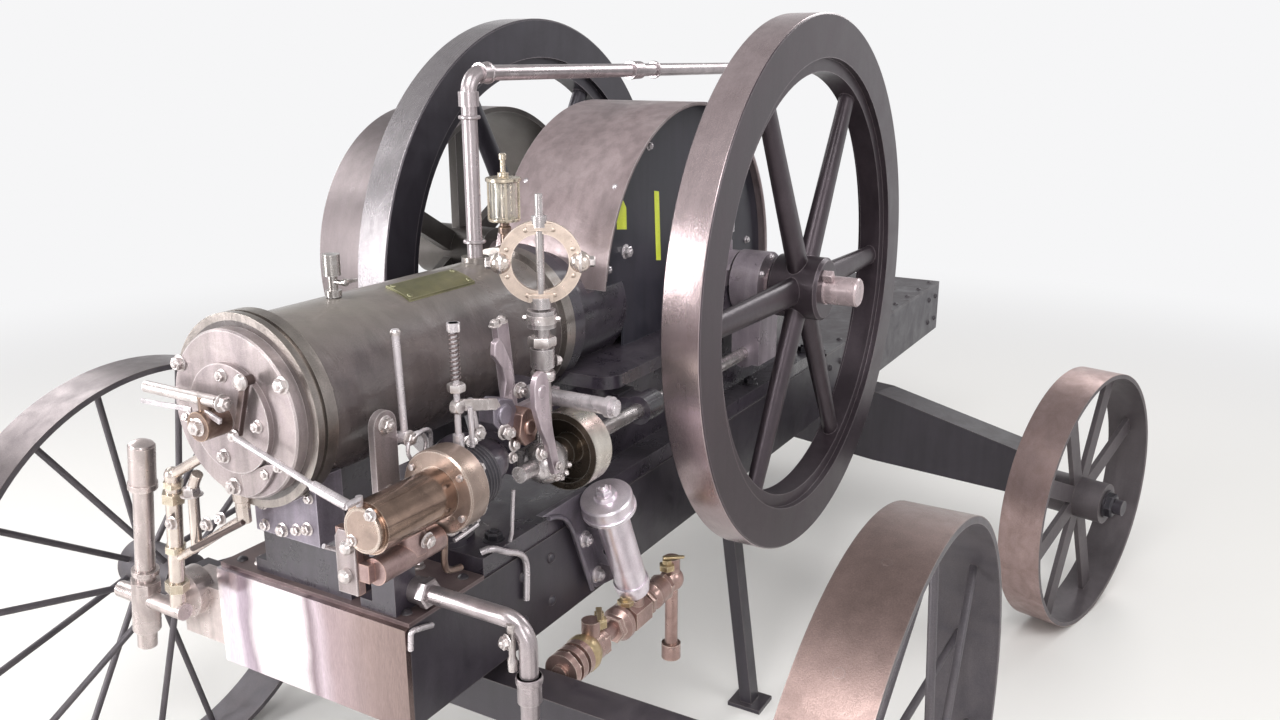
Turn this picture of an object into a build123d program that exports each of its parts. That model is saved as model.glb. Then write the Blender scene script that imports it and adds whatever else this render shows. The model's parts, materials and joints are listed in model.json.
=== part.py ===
from build123d import *
import os
from math import asin, cos, degrees, pi, radians, sin

# A large horizontal single-cylinder hit-and-miss engine on a four-wheel steel truck.
# X runs along the cylinder with the head at -X, the side shaft is on the -Y side, and
# Z = 0 is the floor. Everything is placed from the crank axis, and the whole is moved
# at the end so that the origin lies under the middle of its bounding box.

# Driving sizes, millimetres. A drop is a distance below the crank axis.

running_gap = 0.3
pin_clearance = 0.05

# Truck, from the floor up
head_wheel_diameter = 1100.0
head_wheel_width = 132.0
head_wheel_x = -1095.0
head_wheel_track = 1916.0
head_wheel_spokes = 16
axle_half_depth = 45.0
axle_pad = 50.0
axle_pad_half = 200.0
axle_pad_length = 140.0
axle_beam_gap = 60.0
axle_end_reach = 70.0
truck_offset_y = -106.0
sub_base_depth = 205.0
sub_base_width = 490.0
sub_base_offset = -30.0
sub_base_front_x = -1410.0
sub_base_rear_x = 2100.0
sub_base_wall = 12.0
sub_base_flange = 70.0
deck_thickness = 8.0
steer_pin_x = 1167.0
steer_pin_diameter = 40.0
steer_wheel_diameter = 848.0
steer_wheel_width = 131.0
steer_wheel_track = 2010.0
steer_rest_angle = -14.2
steer_wheel_spokes = 8
turn_plate_radius = 190.0
turn_plate_thickness = 10.0
steer_gap = 1.0
wheel_spindle_diameter = 50.0
wheel_hub_length = 190.0
head_hub_radius = 62.0
steer_hub_radius = 66.0
rim_sheet = 14.0
prop_leg_x = -110.0
prop_leg_splay = 100.0
prop_leg_width = 50.0
prop_leg_thickness = 36.0
prop_leg_reach = 90.0

# Flywheels, crankshaft and belt pulley
crank_over_base = 380.0
flywheel_diameter = 1400.0
flywheel_face = 96.0
flywheel_spacing = 882.0
flywheel_rim_depth = 108.0
flywheel_inner_ring_depth = 34.0
flywheel_inner_ring_width = 62.0
flywheel_hub_diameter = 168.0
flywheel_hub_length = 140.0
flywheel_spokes = 6
crankshaft_diameter = 80.0
crankshaft_end_diameter = 76.0
crankshaft_end_length = 86.0
crankshaft_shoulder = 4.0
belt_pulley_diameter = 900.0
belt_pulley_face = 330.0
belt_pulley_gap = 60.0
belt_pulley_rim = 16.0
belt_pulley_hub_radius = 80.0
belt_pulley_arm_width = 62.0
belt_pulley_arm_thickness = 30.0

# Bed, bearings and hood
bed_front_x = -1180.0
bed_rear_x = 640.0
bed_foot_thickness = 40.0
bed_ledge_drop = 105.0
bed_ledge_width = 530.0
bed_ledge_thickness = 30.0
bed_top_width = 470.0
bed_low_width = 400.0
bed_corner = 40.0
bearing_inner_y = 168.0
bearing_length = 94.0
bearing_block_length = 300.0
bearing_cap_length = 220.0
bearing_cap_radius = 82.0
oil_cup_radius = 17.0
throat_radius = 150.0
throat_rear_x = -432.0
throat_top = 60.0
hood_centre_x = -80.0
hood_radius = 480.0
hood_width = 330.0
hood_sheet = 4.0
hood_side_inset = 30.0
hood_side_thickness = 6.0

# Cylinder and head
head_face_x = -1500.0
head_diameter = 304.0
head_thickness = 24.0
jacket_diameter = 320.0
jacket_flange_diameter = 352.0
jacket_flange_thickness = 46.0
jacket_rear_flange = 34.0
jacket_rear_x = -700.0
valve_disc_radius = 98.0
valve_disc_thickness = 12.0
pivot_radius = 9.0
pivot_y = -70.0
pivot_rise = 79.0
valve_lever_foot_y = -38.0
valve_lever_foot_drop = 20.0
valve_lever_width = 13.0
push_rod_stand_off = 36.0
push_rod_radius = 6.0
push_rod_end_drop = 90.0
igniter_y = 15.0
igniter_radius = 26.0
top_cover_front_x = -1135.0
top_cover_rear_x = -935.0
top_cover_near_y = -82.0
top_cover_far_y = -22.0
top_cover_sheet = 5.0
priming_cup_x = -1250.0
pedestal_front_x = -1385.0
pedestal_rear_x = -1250.0
pedestal_width = 190.0
valve_box_front_x = -1448.0
valve_box_near_y = -125.0
valve_box_far_y = 35.0
valve_box_drop = 240.0

# Pipes and oiler
riser_x = -828.0
pipe_diameter = 33.7
riser_height = 560.0
riser_bend = 42.0
top_pipe_end_x = 560.0
pipe_fitting = 5.0
oiler_x = -726.0
oiler_radius = 38.0
oiler_low = 196.0
oiler_glass_height = 114.0
oiler_plate = 15.0
front_pipe_diameter = 33.7
front_pipe_x = -1338.0
front_pipe_y = -490.0
front_pipe_drop = 340.0
front_pipe_fall = 470.0
front_pipe_collar_drop = 100.0
front_pipe_collar = 50.0
left_pipe_x = -1478.0
left_pipe_radius = 19.0
left_pipe_lean = 8.5
left_pipe_foot_y = 357.0
left_pipe_foot_drop = 500.0
left_pipe_top = 112.0
left_pipe_cap = 78.0
left_pipe_tail = 60.0
left_pipe_sleeve = 90.0
left_arm_reach = 70.0
left_seat_tab = 70.0
left_cross_drop = 450.0
left_seat_y = 296.0
left_seat_radius = 50.0
brass_riser_foot_y = 252.0
brass_riser_top_y = 217.0
brass_riser_radius = 15.0

# Side shaft, governor and valve gear
side_shaft_y = -300.0
side_shaft_drop = 190.0
side_shaft_diameter = 34.0
side_shaft_front_x = -1095.0
side_shaft_rear_x = -60.0
side_bearing_x = -600.0
side_bearing_length = 70.0
side_bearing_radius = 34.0
side_pad_y = 248.0
side_pad_half = 36.0
gear_case_radius = 86.0
gear_case_width = 82.0
gear_case_half = 60.0
rocker_x = -925.0
rocker_drop = 82.0
rocker_seat_y = 206.0
rocker_end_y = 420.0
rocker_radius = 17.0
cam_drum_x = -915.0
cam_drum_diameter = 168.0
cam_drum_width = 60.0
cam_drum_wall = 16.0
governor_x = -1006.0
governor_case_radius = 46.0
governor_column_radius = 16.0
governor_collar_base = 88.0
governor_collar_depth = 34.0
governor_collar_radius = 28.0
governor_ring_height = 215.0
governor_ring_outer = 81.0
governor_ring_inner = 55.0
governor_ring_angle = -55.0
governor_leaf_width = 12.0
governor_ball_throw = 76.0
governor_spindle_foot = 2.0
governor_sleeve_gap = 4.0
governor_sleeve_radius = 20.0
governor_top_cap = 8.0
governor_cap_radius = 15.0
governor_ball_diameter = 42.0
governor_spindle_diameter = 16.0
governor_spindle_top = 345.0
lever_width = 34.0
lever_thickness = 14.0
lever_y = -262.0

# Mixer barrel and its bracket
mixer_drop = 140.0
mixer_front_x = -1516.0
mixer_cap_length = 12.0
mixer_cap_radius = 40.0
mixer_radius = 46.0
mixer_flange_x = -1332.0
mixer_flange_length = 47.0
mixer_flange_radius = 76.0
mixer_neck_radius = 58.0
mixer_neck_rear_x = -1225.0
elbow_radius = 34.0
elbow_x = -1140.0
elbow_y = -150.0
elbow_bend = 60.0
stub_drop = 222.0
stub_radius = 24.0
stub_front_x = -1495.0
stub_rear_x = -1340.0
post_front_x = -1392.0
post_rear_x = -1336.0
post_near_y = -240.0
post_far_y = -185.0
bracket_x = -1352.0
bracket_radius = 28.0
bracket_drop = 28.0
bracket_thickness = 14.0
hand_lever_top = 140.0
hand_lever_radius = 7.0
spring_post_x = -1269.0
spring_post_top = 152.0

# Fuel pump and valve train
pump_stand_off = 72.0
pump_top_x = -859.0
pump_top_drop = 299.0
pump_foot_x = -733.0
pump_foot_drop = 590.0
pump_radius = 37.0
pump_cap_radius = 58.0
pump_cap_length = 68.0
pump_plate_thickness = 14.0
train_drop = 642.0
train_front_x = -1044.0
train_rear_x = -550.0
train_radius = 18.0
train_fitting_radius = 34.0
train_fall = 215.0

# Places that follow from the sizes

head_wheel_z = head_wheel_diameter / 2
sub_base_bottom = head_wheel_z + axle_half_depth + axle_pad
sub_base_top = sub_base_bottom + sub_base_depth
crank_z = sub_base_top + crank_over_base
bed_ledge_top = crank_z - bed_ledge_drop
deck_top = sub_base_top + deck_thickness
base_near_y = sub_base_offset - sub_base_width / 2
base_far_y = sub_base_offset + sub_base_width / 2
pump_y = base_near_y - pump_stand_off
flywheel_y = flywheel_spacing / 2
side_shaft_z = crank_z - side_shaft_drop
rocker_z = crank_z - rocker_drop
mixer_z = crank_z - mixer_drop
stub_z = crank_z - stub_drop
steer_wheel_z = steer_wheel_diameter / 2
jacket_radius = jacket_diameter / 2
jacket_front_x = head_face_x + head_thickness
case_near_y = -(bearing_inner_y + bearing_length + 4)
origin_x = (head_wheel_x - head_wheel_diameter / 2 + sub_base_rear_x) / 2


# Plain shapes laid along an axis, with the given ends or centre

def rod_x(x0, x1, y, z, radius):
    return Pos((x0 + x1) / 2, y, z) * Rot(0, 90, 0) * Cylinder(radius, abs(x1 - x0))


def rod_y(x, y0, y1, z, radius):
    return Pos(x, (y0 + y1) / 2, z) * Rot(90, 0, 0) * Cylinder(radius, abs(y1 - y0))


def rod_z(x, y, z0, z1, radius):
    return Pos(x, y, (z0 + z1) / 2) * Cylinder(radius, abs(z1 - z0))


def block(x0, x1, y0, y1, z0, z1):
    return Pos((x0 + x1) / 2, (y0 + y1) / 2, (z0 + z1) / 2) * Box(x1 - x0, y1 - y0, z1 - z0)


def bar(start, end, radius):
    """A round bar between two points."""
    a = Vector(*start)
    b = Vector(*end)
    return Plane(a, z_dir=b - a) * Pos(0, 0, (b - a).length / 2) * Cylinder(radius, (b - a).length)


def flat_bar(start, end, width, thickness, face=(0, 1, 0)):
    """A flat bar between two points; face is the direction of its thickness."""
    a = Vector(*start)
    b = Vector(*end)
    plane = Plane(a, x_dir=Vector(*face), z_dir=b - a)
    return plane * Pos(0, 0, (b - a).length / 2) * Box(thickness, width, (b - a).length)


def side_plate(outline, y0, y1):
    """A flat plate in the XZ plane between two Y values."""
    face = make_face(Polyline(*[(x, 0, z) for x, z in outline], close=True))
    return Pos(0, y1, 0) * extrude(face, y1 - y0, dir=(0, -1, 0))


def circles(shape, radius):
    """The round edges of one radius."""
    round_edges = shape.edges().filter_by(GeomType.CIRCLE)
    return [edge for edge in round_edges if abs(edge.radius - radius) < 0.01]


def tapered_spoke(r0, r1, half0, half1, thick0, thick1):
    """A spoke along +Z with an oval section that narrows outwards."""
    inner = Plane.XY.offset(r0) * Ellipse(half0, thick0)
    outer = Plane.XY.offset(r1) * Ellipse(half1, thick1)
    return loft([inner, outer])


def between(inner_radius, outer_radius, height):
    """The ring of space between a hub and a rim, which trims the spokes to both."""
    return Cylinder(outer_radius, height) - Cylinder(inner_radius, height)


# Flywheels, crankshaft and belt pulley

def flywheel(side):
    outer = flywheel_diameter / 2
    inner = outer - flywheel_rim_depth
    ring_inner = inner - flywheel_inner_ring_depth
    hub_radius = flywheel_hub_diameter / 2
    rim = Cylinder(outer, flywheel_face) - Cylinder(inner, flywheel_face)
    rim = chamfer(circles(rim, outer), 4)
    rim += between(ring_inner, inner + 1, flywheel_inner_ring_width)
    hub = chamfer(circles(Cylinder(hub_radius, flywheel_hub_length), hub_radius), 8)
    hub -= Cylinder(crankshaft_diameter / 2, flywheel_hub_length)
    gap = between(hub_radius, ring_inner, flywheel_face)
    spokes = []
    for i in range(flywheel_spokes):
        spoke = tapered_spoke(hub_radius - 12, ring_inner + 8, 38, 29, 26, 20)
        spokes.append(Rot(0, 0, i * 360 / flywheel_spokes) * Rot(0, 90, 0) * Rot(0, 0, 90) * spoke & gap)
    wheel = Compound([*rim.solids(), *hub.solids(), *[s.solid() for s in spokes]])
    return Pos(0, side * flywheel_y, crank_z) * Rot(90, 0, 0) * wheel


def crankshaft():
    shoulder_y = -(flywheel_y + flywheel_hub_length / 2 + crankshaft_shoulder)
    far_end = flywheel_y + flywheel_face / 2 + belt_pulley_gap + belt_pulley_face
    shaft = rod_y(0, shoulder_y, far_end, crank_z, crankshaft_diameter / 2)
    end = rod_y(0, shoulder_y - crankshaft_end_length, shoulder_y, crank_z, crankshaft_end_diameter / 2)
    end_edge = end.edges().filter_by(GeomType.CIRCLE).sort_by(Axis.Y)[0]
    return shaft + chamfer(end_edge, 4)


def belt_pulley():
    outer = belt_pulley_diameter / 2
    width = belt_pulley_face
    inner = outer - belt_pulley_rim
    rim = between(inner, outer, width)
    hub = Cylinder(belt_pulley_hub_radius, width * 0.8) - Cylinder(crankshaft_diameter / 2, width)
    gap = between(belt_pulley_hub_radius, inner, width)
    solids = [*rim.solids(), *hub.solids()]
    for i in range(6):
        arm = Box(2 * outer, belt_pulley_arm_width, belt_pulley_arm_thickness)
        arm &= Pos(outer, 0, 0) * Box(2 * outer, outer, width)
        solids += (Rot(0, 0, 30 + i * 60) * arm & gap).solids()
    centre_y = flywheel_y + flywheel_face / 2 + belt_pulley_gap + width / 2
    return Pos(0, centre_y, crank_z) * Rot(90, 0, 0) * Compound(solids)


# Bed, bearings and hood

def engine_bed():
    foot_top = sub_base_top + bed_foot_thickness
    foot = block(bed_front_x, bed_rear_x, base_near_y + 4, base_far_y - 4, sub_base_top, foot_top)
    ledge_bottom = bed_ledge_top - bed_ledge_thickness
    bed_start = jacket_rear_x + 14
    middle = (bed_start + bed_rear_x) / 2
    length = bed_rear_x - bed_start
    lower = Plane.XY.offset(foot_top - 2) * Pos(middle, 0) * RectangleRounded(length - 60, bed_low_width, bed_corner)
    upper = Plane.XY.offset(ledge_bottom + 2) * Pos(middle, 0) * RectangleRounded(length, bed_top_width, bed_corner)
    ledge_face = Pos(middle, 0) * RectangleRounded(length + 20, bed_ledge_width, bed_corner + 10)
    ledge = extrude(Plane.XY.offset(ledge_bottom) * ledge_face, bed_ledge_thickness)
    neck = rod_x(jacket_rear_x, jacket_rear_x + 40, 0, crank_z, jacket_flange_diameter / 2)
    throat = rod_x(jacket_rear_x + 30, throat_rear_x, 0, crank_z, throat_radius)
    hood_front = hood_centre_x - hood_radius
    throat -= block(hood_front - 30, 0, -300, 300, crank_z + throat_top, crank_z + 2 * throat_radius)
    body = foot + loft([lower, upper]) + ledge + neck + throat
    for side in (-1, 1):
        y_mid = side * (bearing_inner_y + bearing_length / 2)
        seat = Pos(0, y_mid, (bed_ledge_top + crank_z) / 2 - 10)
        body += seat * Box(bearing_block_length, bearing_length, crank_z - bed_ledge_top + 20)
    body -= rod_y(0, -flywheel_y, flywheel_y, crank_z, crankshaft_diameter / 2 + running_gap)
    body -= block(-bearing_block_length, bearing_block_length, -400, 400, crank_z, crank_z + 60)
    low = side_shaft_z - 30
    for x in (side_bearing_x, governor_x):
        body += block(x - side_pad_half, x + side_pad_half, -side_pad_y, -150, low, low + 60)
    body += block(governor_x - side_pad_half, jacket_rear_x + 60, -200, -140, low, low + 60)
    return body + block(rocker_x - 22, rocker_x + 22, -rocker_seat_y, -150, low, rocker_z + 26)


def bearing_cap(side):
    y_mid = side * (bearing_inner_y + bearing_length / 2)
    width = bearing_length - 6
    lower = Pos(0, y_mid, crank_z + 20) * Box(bearing_cap_length, width, 40)
    crown = rod_y(0, y_mid - width / 2, y_mid + width / 2, crank_z, bearing_cap_radius)
    crown &= block(-100, 100, y_mid - width, y_mid + width, crank_z, crank_z + 100)
    oil_cup = rod_z(0, y_mid, crank_z + bearing_cap_radius - 4, crank_z + bearing_cap_radius + 26, oil_cup_radius)
    cap = lower + crown + oil_cup
    return cap - rod_y(0, y_mid - width, y_mid + width, crank_z, crankshaft_diameter / 2 + running_gap)


def drum_sector(radius, half_width):
    """The solid that the hood's sheet wraps: a drum along Y, cut off on the throat and on the bed's ledge."""
    front_angle = 180 - degrees(asin(throat_top / (hood_radius - hood_sheet)))
    rear_angle = -degrees(asin(bed_ledge_drop / hood_radius))
    points = [(0, 0)]
    for i in range(13):
        a = radians(rear_angle + (front_angle - rear_angle) * i / 12)
        points.append((2 * radius * cos(a), 2 * radius * sin(a)))
    wedge = extrude(Plane.XZ * make_face(Polyline(*points, close=True)), half_width, both=True)
    return Cylinder(radius, 2 * half_width).rotate(Axis.X, 90) & wedge


def crank_hood():
    half = hood_width / 2
    shell = drum_sector(hood_radius, half) - Cylinder(hood_radius - hood_sheet, 2 * half + 2).rotate(Axis.X, 90)
    return Pos(hood_centre_x, 0, crank_z) * shell


def hood_side(side):
    reach = 2 * hood_radius
    y_mid = side * (hood_width / 2 - hood_side_inset)
    half = hood_side_thickness / 2
    plate = rod_y(hood_centre_x, y_mid - half, y_mid + half, crank_z, hood_radius - hood_sheet)
    plate -= block(-reach, reach, -400, 400, 0, bed_ledge_top)
    plate -= block(-reach, throat_rear_x + 4, -400, 400, 0, crank_z + throat_top)
    return plate - rod_y(0, -400, 400, crank_z, crankshaft_diameter / 2 + 12)


# Cylinder and head

def cylinder_jacket():
    flange_radius = jacket_flange_diameter / 2
    barrel = rod_x(jacket_front_x, jacket_rear_x, 0, crank_z, jacket_radius)
    front = rod_x(jacket_front_x, jacket_front_x + jacket_flange_thickness, 0, crank_z, flange_radius)
    groove_x = jacket_front_x + jacket_flange_thickness * 0.3
    groove = rod_x(groove_x, groove_x + 8, 0, crank_z, flange_radius)
    front -= groove - rod_x(groove_x, groove_x + 8, 0, crank_z, flange_radius - 7)
    rear = rod_x(jacket_rear_x - jacket_rear_flange, jacket_rear_x, 0, crank_z, flange_radius)
    boss = rod_z(riser_x, 0, crank_z + jacket_radius - 20, crank_z + jacket_radius + 12, pipe_diameter * 0.9)
    return barrel + front + rear + boss


def jacket_outside():
    """The jacket's outer wall with its flanges, for what seats on it."""
    flange_radius = jacket_flange_diameter / 2
    rear = rod_x(jacket_rear_x - jacket_rear_flange, jacket_rear_x, 0, crank_z, flange_radius)
    front = rod_x(jacket_front_x, jacket_front_x + jacket_flange_thickness, 0, crank_z, flange_radius)
    return rod_x(jacket_front_x, jacket_rear_x, 0, crank_z, jacket_radius) + rear + front


def cylinder_pedestal():
    """The casting that carries the head end of the cylinder on the deck."""
    half = pedestal_width / 2
    foot = block(pedestal_front_x, pedestal_rear_x, -half - 30, half + 30, deck_top, deck_top + 26)
    trunk = block(pedestal_front_x, pedestal_rear_x, -half, half, deck_top, crank_z - jacket_radius * 0.7)
    return foot + trunk - jacket_outside()


def valve_box():
    top = crank_z - jacket_radius * 0.7
    foot = crank_z - valve_box_drop
    box = block(valve_box_front_x, pedestal_front_x, valve_box_near_y, valve_box_far_y, foot, top)
    return box - jacket_outside()


def head_plate():
    plate = rod_x(head_face_x, jacket_front_x, 0, crank_z, head_diameter / 2)
    return chamfer(plate.edges().filter_by(GeomType.CIRCLE).sort_by(Axis.X)[0], 3)


def valve_chest():
    disc = rod_x(head_face_x - valve_disc_thickness, head_face_x, 0, crank_z - 3, valve_disc_radius)
    return disc - igniter_body()


def top_cover():
    """The bare curved plate on the cylinder top."""
    inner = jacket_radius + 0.2
    x0 = top_cover_front_x
    x1 = top_cover_rear_x
    sleeve = rod_x(x0, x1, 0, crank_z, inner + top_cover_sheet) - rod_x(x0, x1, 0, crank_z, inner)
    return sleeve & block(x0, x1, top_cover_near_y, top_cover_far_y, crank_z, crank_z + 2 * jacket_radius)


def riser_pipe():
    radius = pipe_diameter / 2
    foot_z = crank_z + jacket_radius + 12
    top_z = crank_z + riser_height
    corners = [(riser_x, 0, foot_z), (riser_x, 0, top_z), (top_pipe_end_x, 0, top_z)]
    path = FilletPolyline(*corners, radius=riser_bend)
    pipe = sweep(Plane(path @ 0, z_dir=path % 0) * Circle(radius), path=path)
    collar = rod_z(riser_x, 0, top_z - 2 * pipe_diameter, top_z - 1.1 * pipe_diameter, radius + pipe_fitting)
    elbow_end = rod_x(riser_x + 1.1 * pipe_diameter, riser_x + 1.8 * pipe_diameter, 0, top_z, radius + pipe_fitting)
    union_x = (riser_x + top_pipe_end_x) / 2
    union = rod_x(union_x - 25, union_x + 25, 0, top_z, radius + pipe_fitting + 1)
    return pipe + collar + elbow_end + union


def oiler_brass():
    x = oiler_x
    foot_z = crank_z + jacket_radius
    base_z = crank_z + oiler_low
    glass_z = base_z + oiler_plate
    cap_z = glass_z + oiler_glass_height
    stem = rod_z(x, 0, foot_z - 6, base_z + 4, 9)
    nut = extrude(Plane.XY.offset(foot_z + 12) * Pos(x, 0) * RegularPolygon(17, 6), 18)
    base = rod_z(x, 0, base_z, glass_z, oiler_radius)
    cap = rod_z(x, 0, cap_z, cap_z + oiler_plate, oiler_radius + 2)
    knob = rod_z(x, 0, cap_z + oiler_plate, cap_z + 3 * oiler_plate, 8)
    return (stem + nut + base + cap + knob) - jacket_outside()


def oiler_glass():
    glass_z = crank_z + oiler_low + oiler_plate
    return rod_z(oiler_x, 0, glass_z, glass_z + oiler_glass_height, oiler_radius - 5)


def priming_cup():
    x = priming_cup_x
    z0 = crank_z + jacket_radius - 2
    body = rod_z(x, 0, z0, z0 + 44, 9) + rod_z(x, 0, z0 + 44, z0 + 84, 16) + rod_z(x, 0, z0 + 4, z0 + 16, 15)
    handle = rod_y(x, -34, 0, z0 + 32, 5)
    return (body + handle) - jacket_outside()


# Sub-base of the truck

def side_rail(side):
    x0 = sub_base_front_x + sub_base_wall
    x1 = sub_base_rear_x
    half = sub_base_width / 2
    inner = half - sub_base_flange
    web = block(x0, x1, half - sub_base_wall, half, sub_base_bottom, sub_base_top)
    top = block(x0, x1, inner, half, sub_base_top - sub_base_wall, sub_base_top)
    low = block(x0, x1, inner, half, sub_base_bottom, sub_base_bottom + sub_base_wall)
    rail = web + top + low
    return Pos(0, sub_base_offset, 0) * (rail if side > 0 else mirror(rail, about=Plane.XZ))


def front_plate():
    x0 = sub_base_front_x
    return block(x0, x0 + sub_base_wall, base_near_y, base_far_y, sub_base_bottom, sub_base_top)


def front_deck():
    x0 = sub_base_front_x + sub_base_wall
    return block(x0, bed_front_x - 4, base_near_y, base_far_y, sub_base_top, deck_top)


def rear_deck():
    return block(bed_rear_x + 40, sub_base_rear_x, base_near_y, base_far_y, sub_base_top, deck_top)


def king_pin_bore(z0, z1):
    return rod_z(steer_pin_x, truck_offset_y, z0, z1, steer_pin_diameter / 2 + pin_clearance)


def cross_members():
    y0 = base_near_y + sub_base_wall
    y1 = base_far_y - sub_base_wall
    low = sub_base_bottom + sub_base_wall
    high = sub_base_top - sub_base_wall
    parts = Part()
    for x in (head_wheel_x, 0.0, steer_pin_x, sub_base_rear_x - 30):
        parts += block(x - 30, x + 30, y0, y1, low, high)
    return parts - king_pin_bore(low - 5, high - 60)


def prop_leg():
    """A splayed leg on the near rail that takes the engine's weight off the wheels."""
    half = prop_leg_width / 2
    top_z = sub_base_bottom + prop_leg_reach
    foot_y = base_near_y - prop_leg_splay
    start = (prop_leg_x, foot_y, 0)
    end = (prop_leg_x, base_near_y, top_z)
    leg = flat_bar(start, end, prop_leg_thickness, prop_leg_width, (1, 0, 0))
    leg &= block(prop_leg_x - half, prop_leg_x + half, foot_y - 60, base_near_y, 0, top_z)
    pad = block(prop_leg_x - half, prop_leg_x + half, base_near_y - 24, base_near_y, sub_base_bottom + 10, top_z)
    foot = block(prop_leg_x - half - 20, prop_leg_x + half + 20, foot_y - 50, foot_y + 50, 0, 12)
    return leg + pad + foot


# Side shaft, governor and valve gear

def side_shaft():
    return rod_x(side_shaft_front_x, side_shaft_rear_x, side_shaft_y, side_shaft_z, side_shaft_diameter / 2)


def shaft_bore(x0, x1):
    return rod_x(x0, x1, side_shaft_y, side_shaft_z, side_shaft_diameter / 2 + pin_clearance)


def cam_drum():
    half = cam_drum_width / 2
    radius = cam_drum_diameter / 2
    drum = rod_x(cam_drum_x - half, cam_drum_x + half, side_shaft_y, side_shaft_z, radius)
    front = cam_drum_x - half
    drum -= rod_x(front, front + 26, side_shaft_y, side_shaft_z, radius - cam_drum_wall)
    drum += rod_x(cam_drum_x - half - 6, cam_drum_x, side_shaft_y, side_shaft_z, 34)
    return drum - rod_x(cam_drum_x - 100, cam_drum_x + 100, side_shaft_y, side_shaft_z, side_shaft_diameter / 2)


def shaft_bearing(x, length):
    sleeve = rod_x(x - length / 2, x + length / 2, side_shaft_y, side_shaft_z, side_bearing_radius)
    inset = length / 2 - 4
    arm = block(x - inset, x + inset, side_shaft_y, -side_pad_y, side_shaft_z - 24, side_shaft_z + 24)
    return sleeve + arm - shaft_bore(x - length, x + length)


def gear_case():
    """Closed case round the spiral gears between the crankshaft and the side shaft."""
    y0 = case_near_y
    y1 = y0 - gear_case_width
    half = gear_case_half
    upper = rod_y(0, y1, y0, crank_z, gear_case_radius)
    lower = rod_x(-half, half, side_shaft_y, side_shaft_z, 40) & block(-half, half, y1, y0, 0, crank_z)
    web = block(-half, half, y1, y0, side_shaft_z - 30, crank_z)
    case = upper + web + lower
    case -= rod_y(0, y1 - 10, y0 + 10, crank_z, crankshaft_diameter / 2 + running_gap)
    return case - shaft_bore(-300, 40)


def governor_housing():
    """Bevel housing on the side shaft, with the column that the spindle stands in."""
    x = governor_x
    y = side_shaft_y
    z = side_shaft_z
    collar_z = crank_z + governor_collar_base
    collar_top = collar_z + governor_collar_depth
    case = Pos(x, y, z) * Sphere(governor_case_radius)
    case += rod_z(x, y, z, collar_z, governor_column_radius)
    case += rod_z(x, y, crank_z + 8, crank_z + 46, governor_column_radius + 8)
    case += rod_z(x, y, collar_z, collar_top, governor_collar_radius)
    case += block(x - 24, x + 24, y, -side_pad_y, z - 20, z + 20)
    case -= shaft_bore(x - 80, x + 80)
    return case - rod_z(x, y, crank_z, collar_top + 10, governor_spindle_diameter / 2 + pin_clearance)


def at_ring_centre(shape):
    turned = Rot(0, 0, governor_ring_angle) * shape
    return Pos(governor_x, side_shaft_y, crank_z + governor_ring_height) * turned


def governor_stem():
    """Spindle, sleeve below the ring and collar above it, measured from the ring's centre."""
    middle = (governor_ring_outer + governor_ring_inner) / 2
    foot = governor_collar_base + governor_collar_depth - governor_ring_height
    top = governor_spindle_top - governor_ring_height
    stem = rod_z(0, 0, governor_spindle_foot - governor_ring_height, top, governor_spindle_diameter / 2)
    sleeve = rod_z(0, 0, foot + governor_sleeve_gap, -middle, governor_sleeve_radius)
    collar = rod_z(0, 0, middle, governor_ring_outer + governor_top_cap, governor_cap_radius)
    return stem + sleeve + collar


def ball_pair():
    """Two balls, turned so that their poles lie clear of the ring."""
    ball = Rot(20, 30, 0) * Sphere(governor_ball_diameter / 2)
    return Pos(-governor_ball_throw, 0, 0) * ball + Pos(governor_ball_throw, 0, 0) * ball


def governor_spindle():
    return at_ring_centre(governor_stem())


def governor_arms():
    """Two bowed spring leaves that make a flat ring, with a ball at the middle of each."""
    ring = Rot(90, 0, 0) * between(governor_ring_inner, governor_ring_outer, governor_leaf_width)
    return at_ring_centre(ring - ball_pair() - governor_stem())


def governor_balls():
    return at_ring_centre(ball_pair())


def rocker_shaft():
    return rod_y(rocker_x, -rocker_end_y, -rocker_seat_y, rocker_z, rocker_radius)


def trip_levers():
    top_x = governor_x - 84
    knee_x = governor_x - 58
    top = (top_x, lever_y, crank_z + 110)
    knee = (knee_x, lever_y, rocker_z - 10)
    start = (top_x - 20, lever_y, rocker_z - 6)
    end = (rocker_x + 20, lever_y, rocker_z)
    lever = flat_bar(top, knee, lever_width, lever_thickness)
    lever += flat_bar(start, end, lever_width, lever_thickness)
    return lever - rod_y(rocker_x, -rocker_end_y, -200, rocker_z, rocker_radius)


# Mixer barrel, its bracket and what stands on it

def mixer_barrel():
    y = side_shaft_y
    z = mixer_z
    tube = rod_x(mixer_front_x + mixer_cap_length - 1, mixer_flange_x, y, z, mixer_radius)
    cap = rod_x(mixer_front_x, mixer_front_x + mixer_cap_length, y, z, mixer_cap_radius)
    flange = rod_x(mixer_flange_x, mixer_flange_x + mixer_flange_length, y, z, mixer_flange_radius)
    neck = rod_x(mixer_flange_x + mixer_flange_length, mixer_neck_rear_x, y, z, mixer_neck_radius)
    return tube + cap + flange + neck


def mixer_elbow():
    path = FilletPolyline(
        (mixer_neck_rear_x, side_shaft_y, mixer_z), (elbow_x, side_shaft_y, mixer_z),
        (elbow_x, elbow_y, mixer_z), (elbow_x, elbow_y, sub_base_top + bed_foot_thickness), radius=elbow_bend)
    pipe = sweep(Plane(path @ 0, z_dir=path % 0) * Circle(elbow_radius), path=path)
    z0 = sub_base_top + bed_foot_thickness
    flange = rod_z(elbow_x, elbow_y, z0, z0 + 14, elbow_radius + 20)
    return pipe + (flange & block(bed_front_x, 0, -300, 0, z0, z0 + 14))


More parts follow.
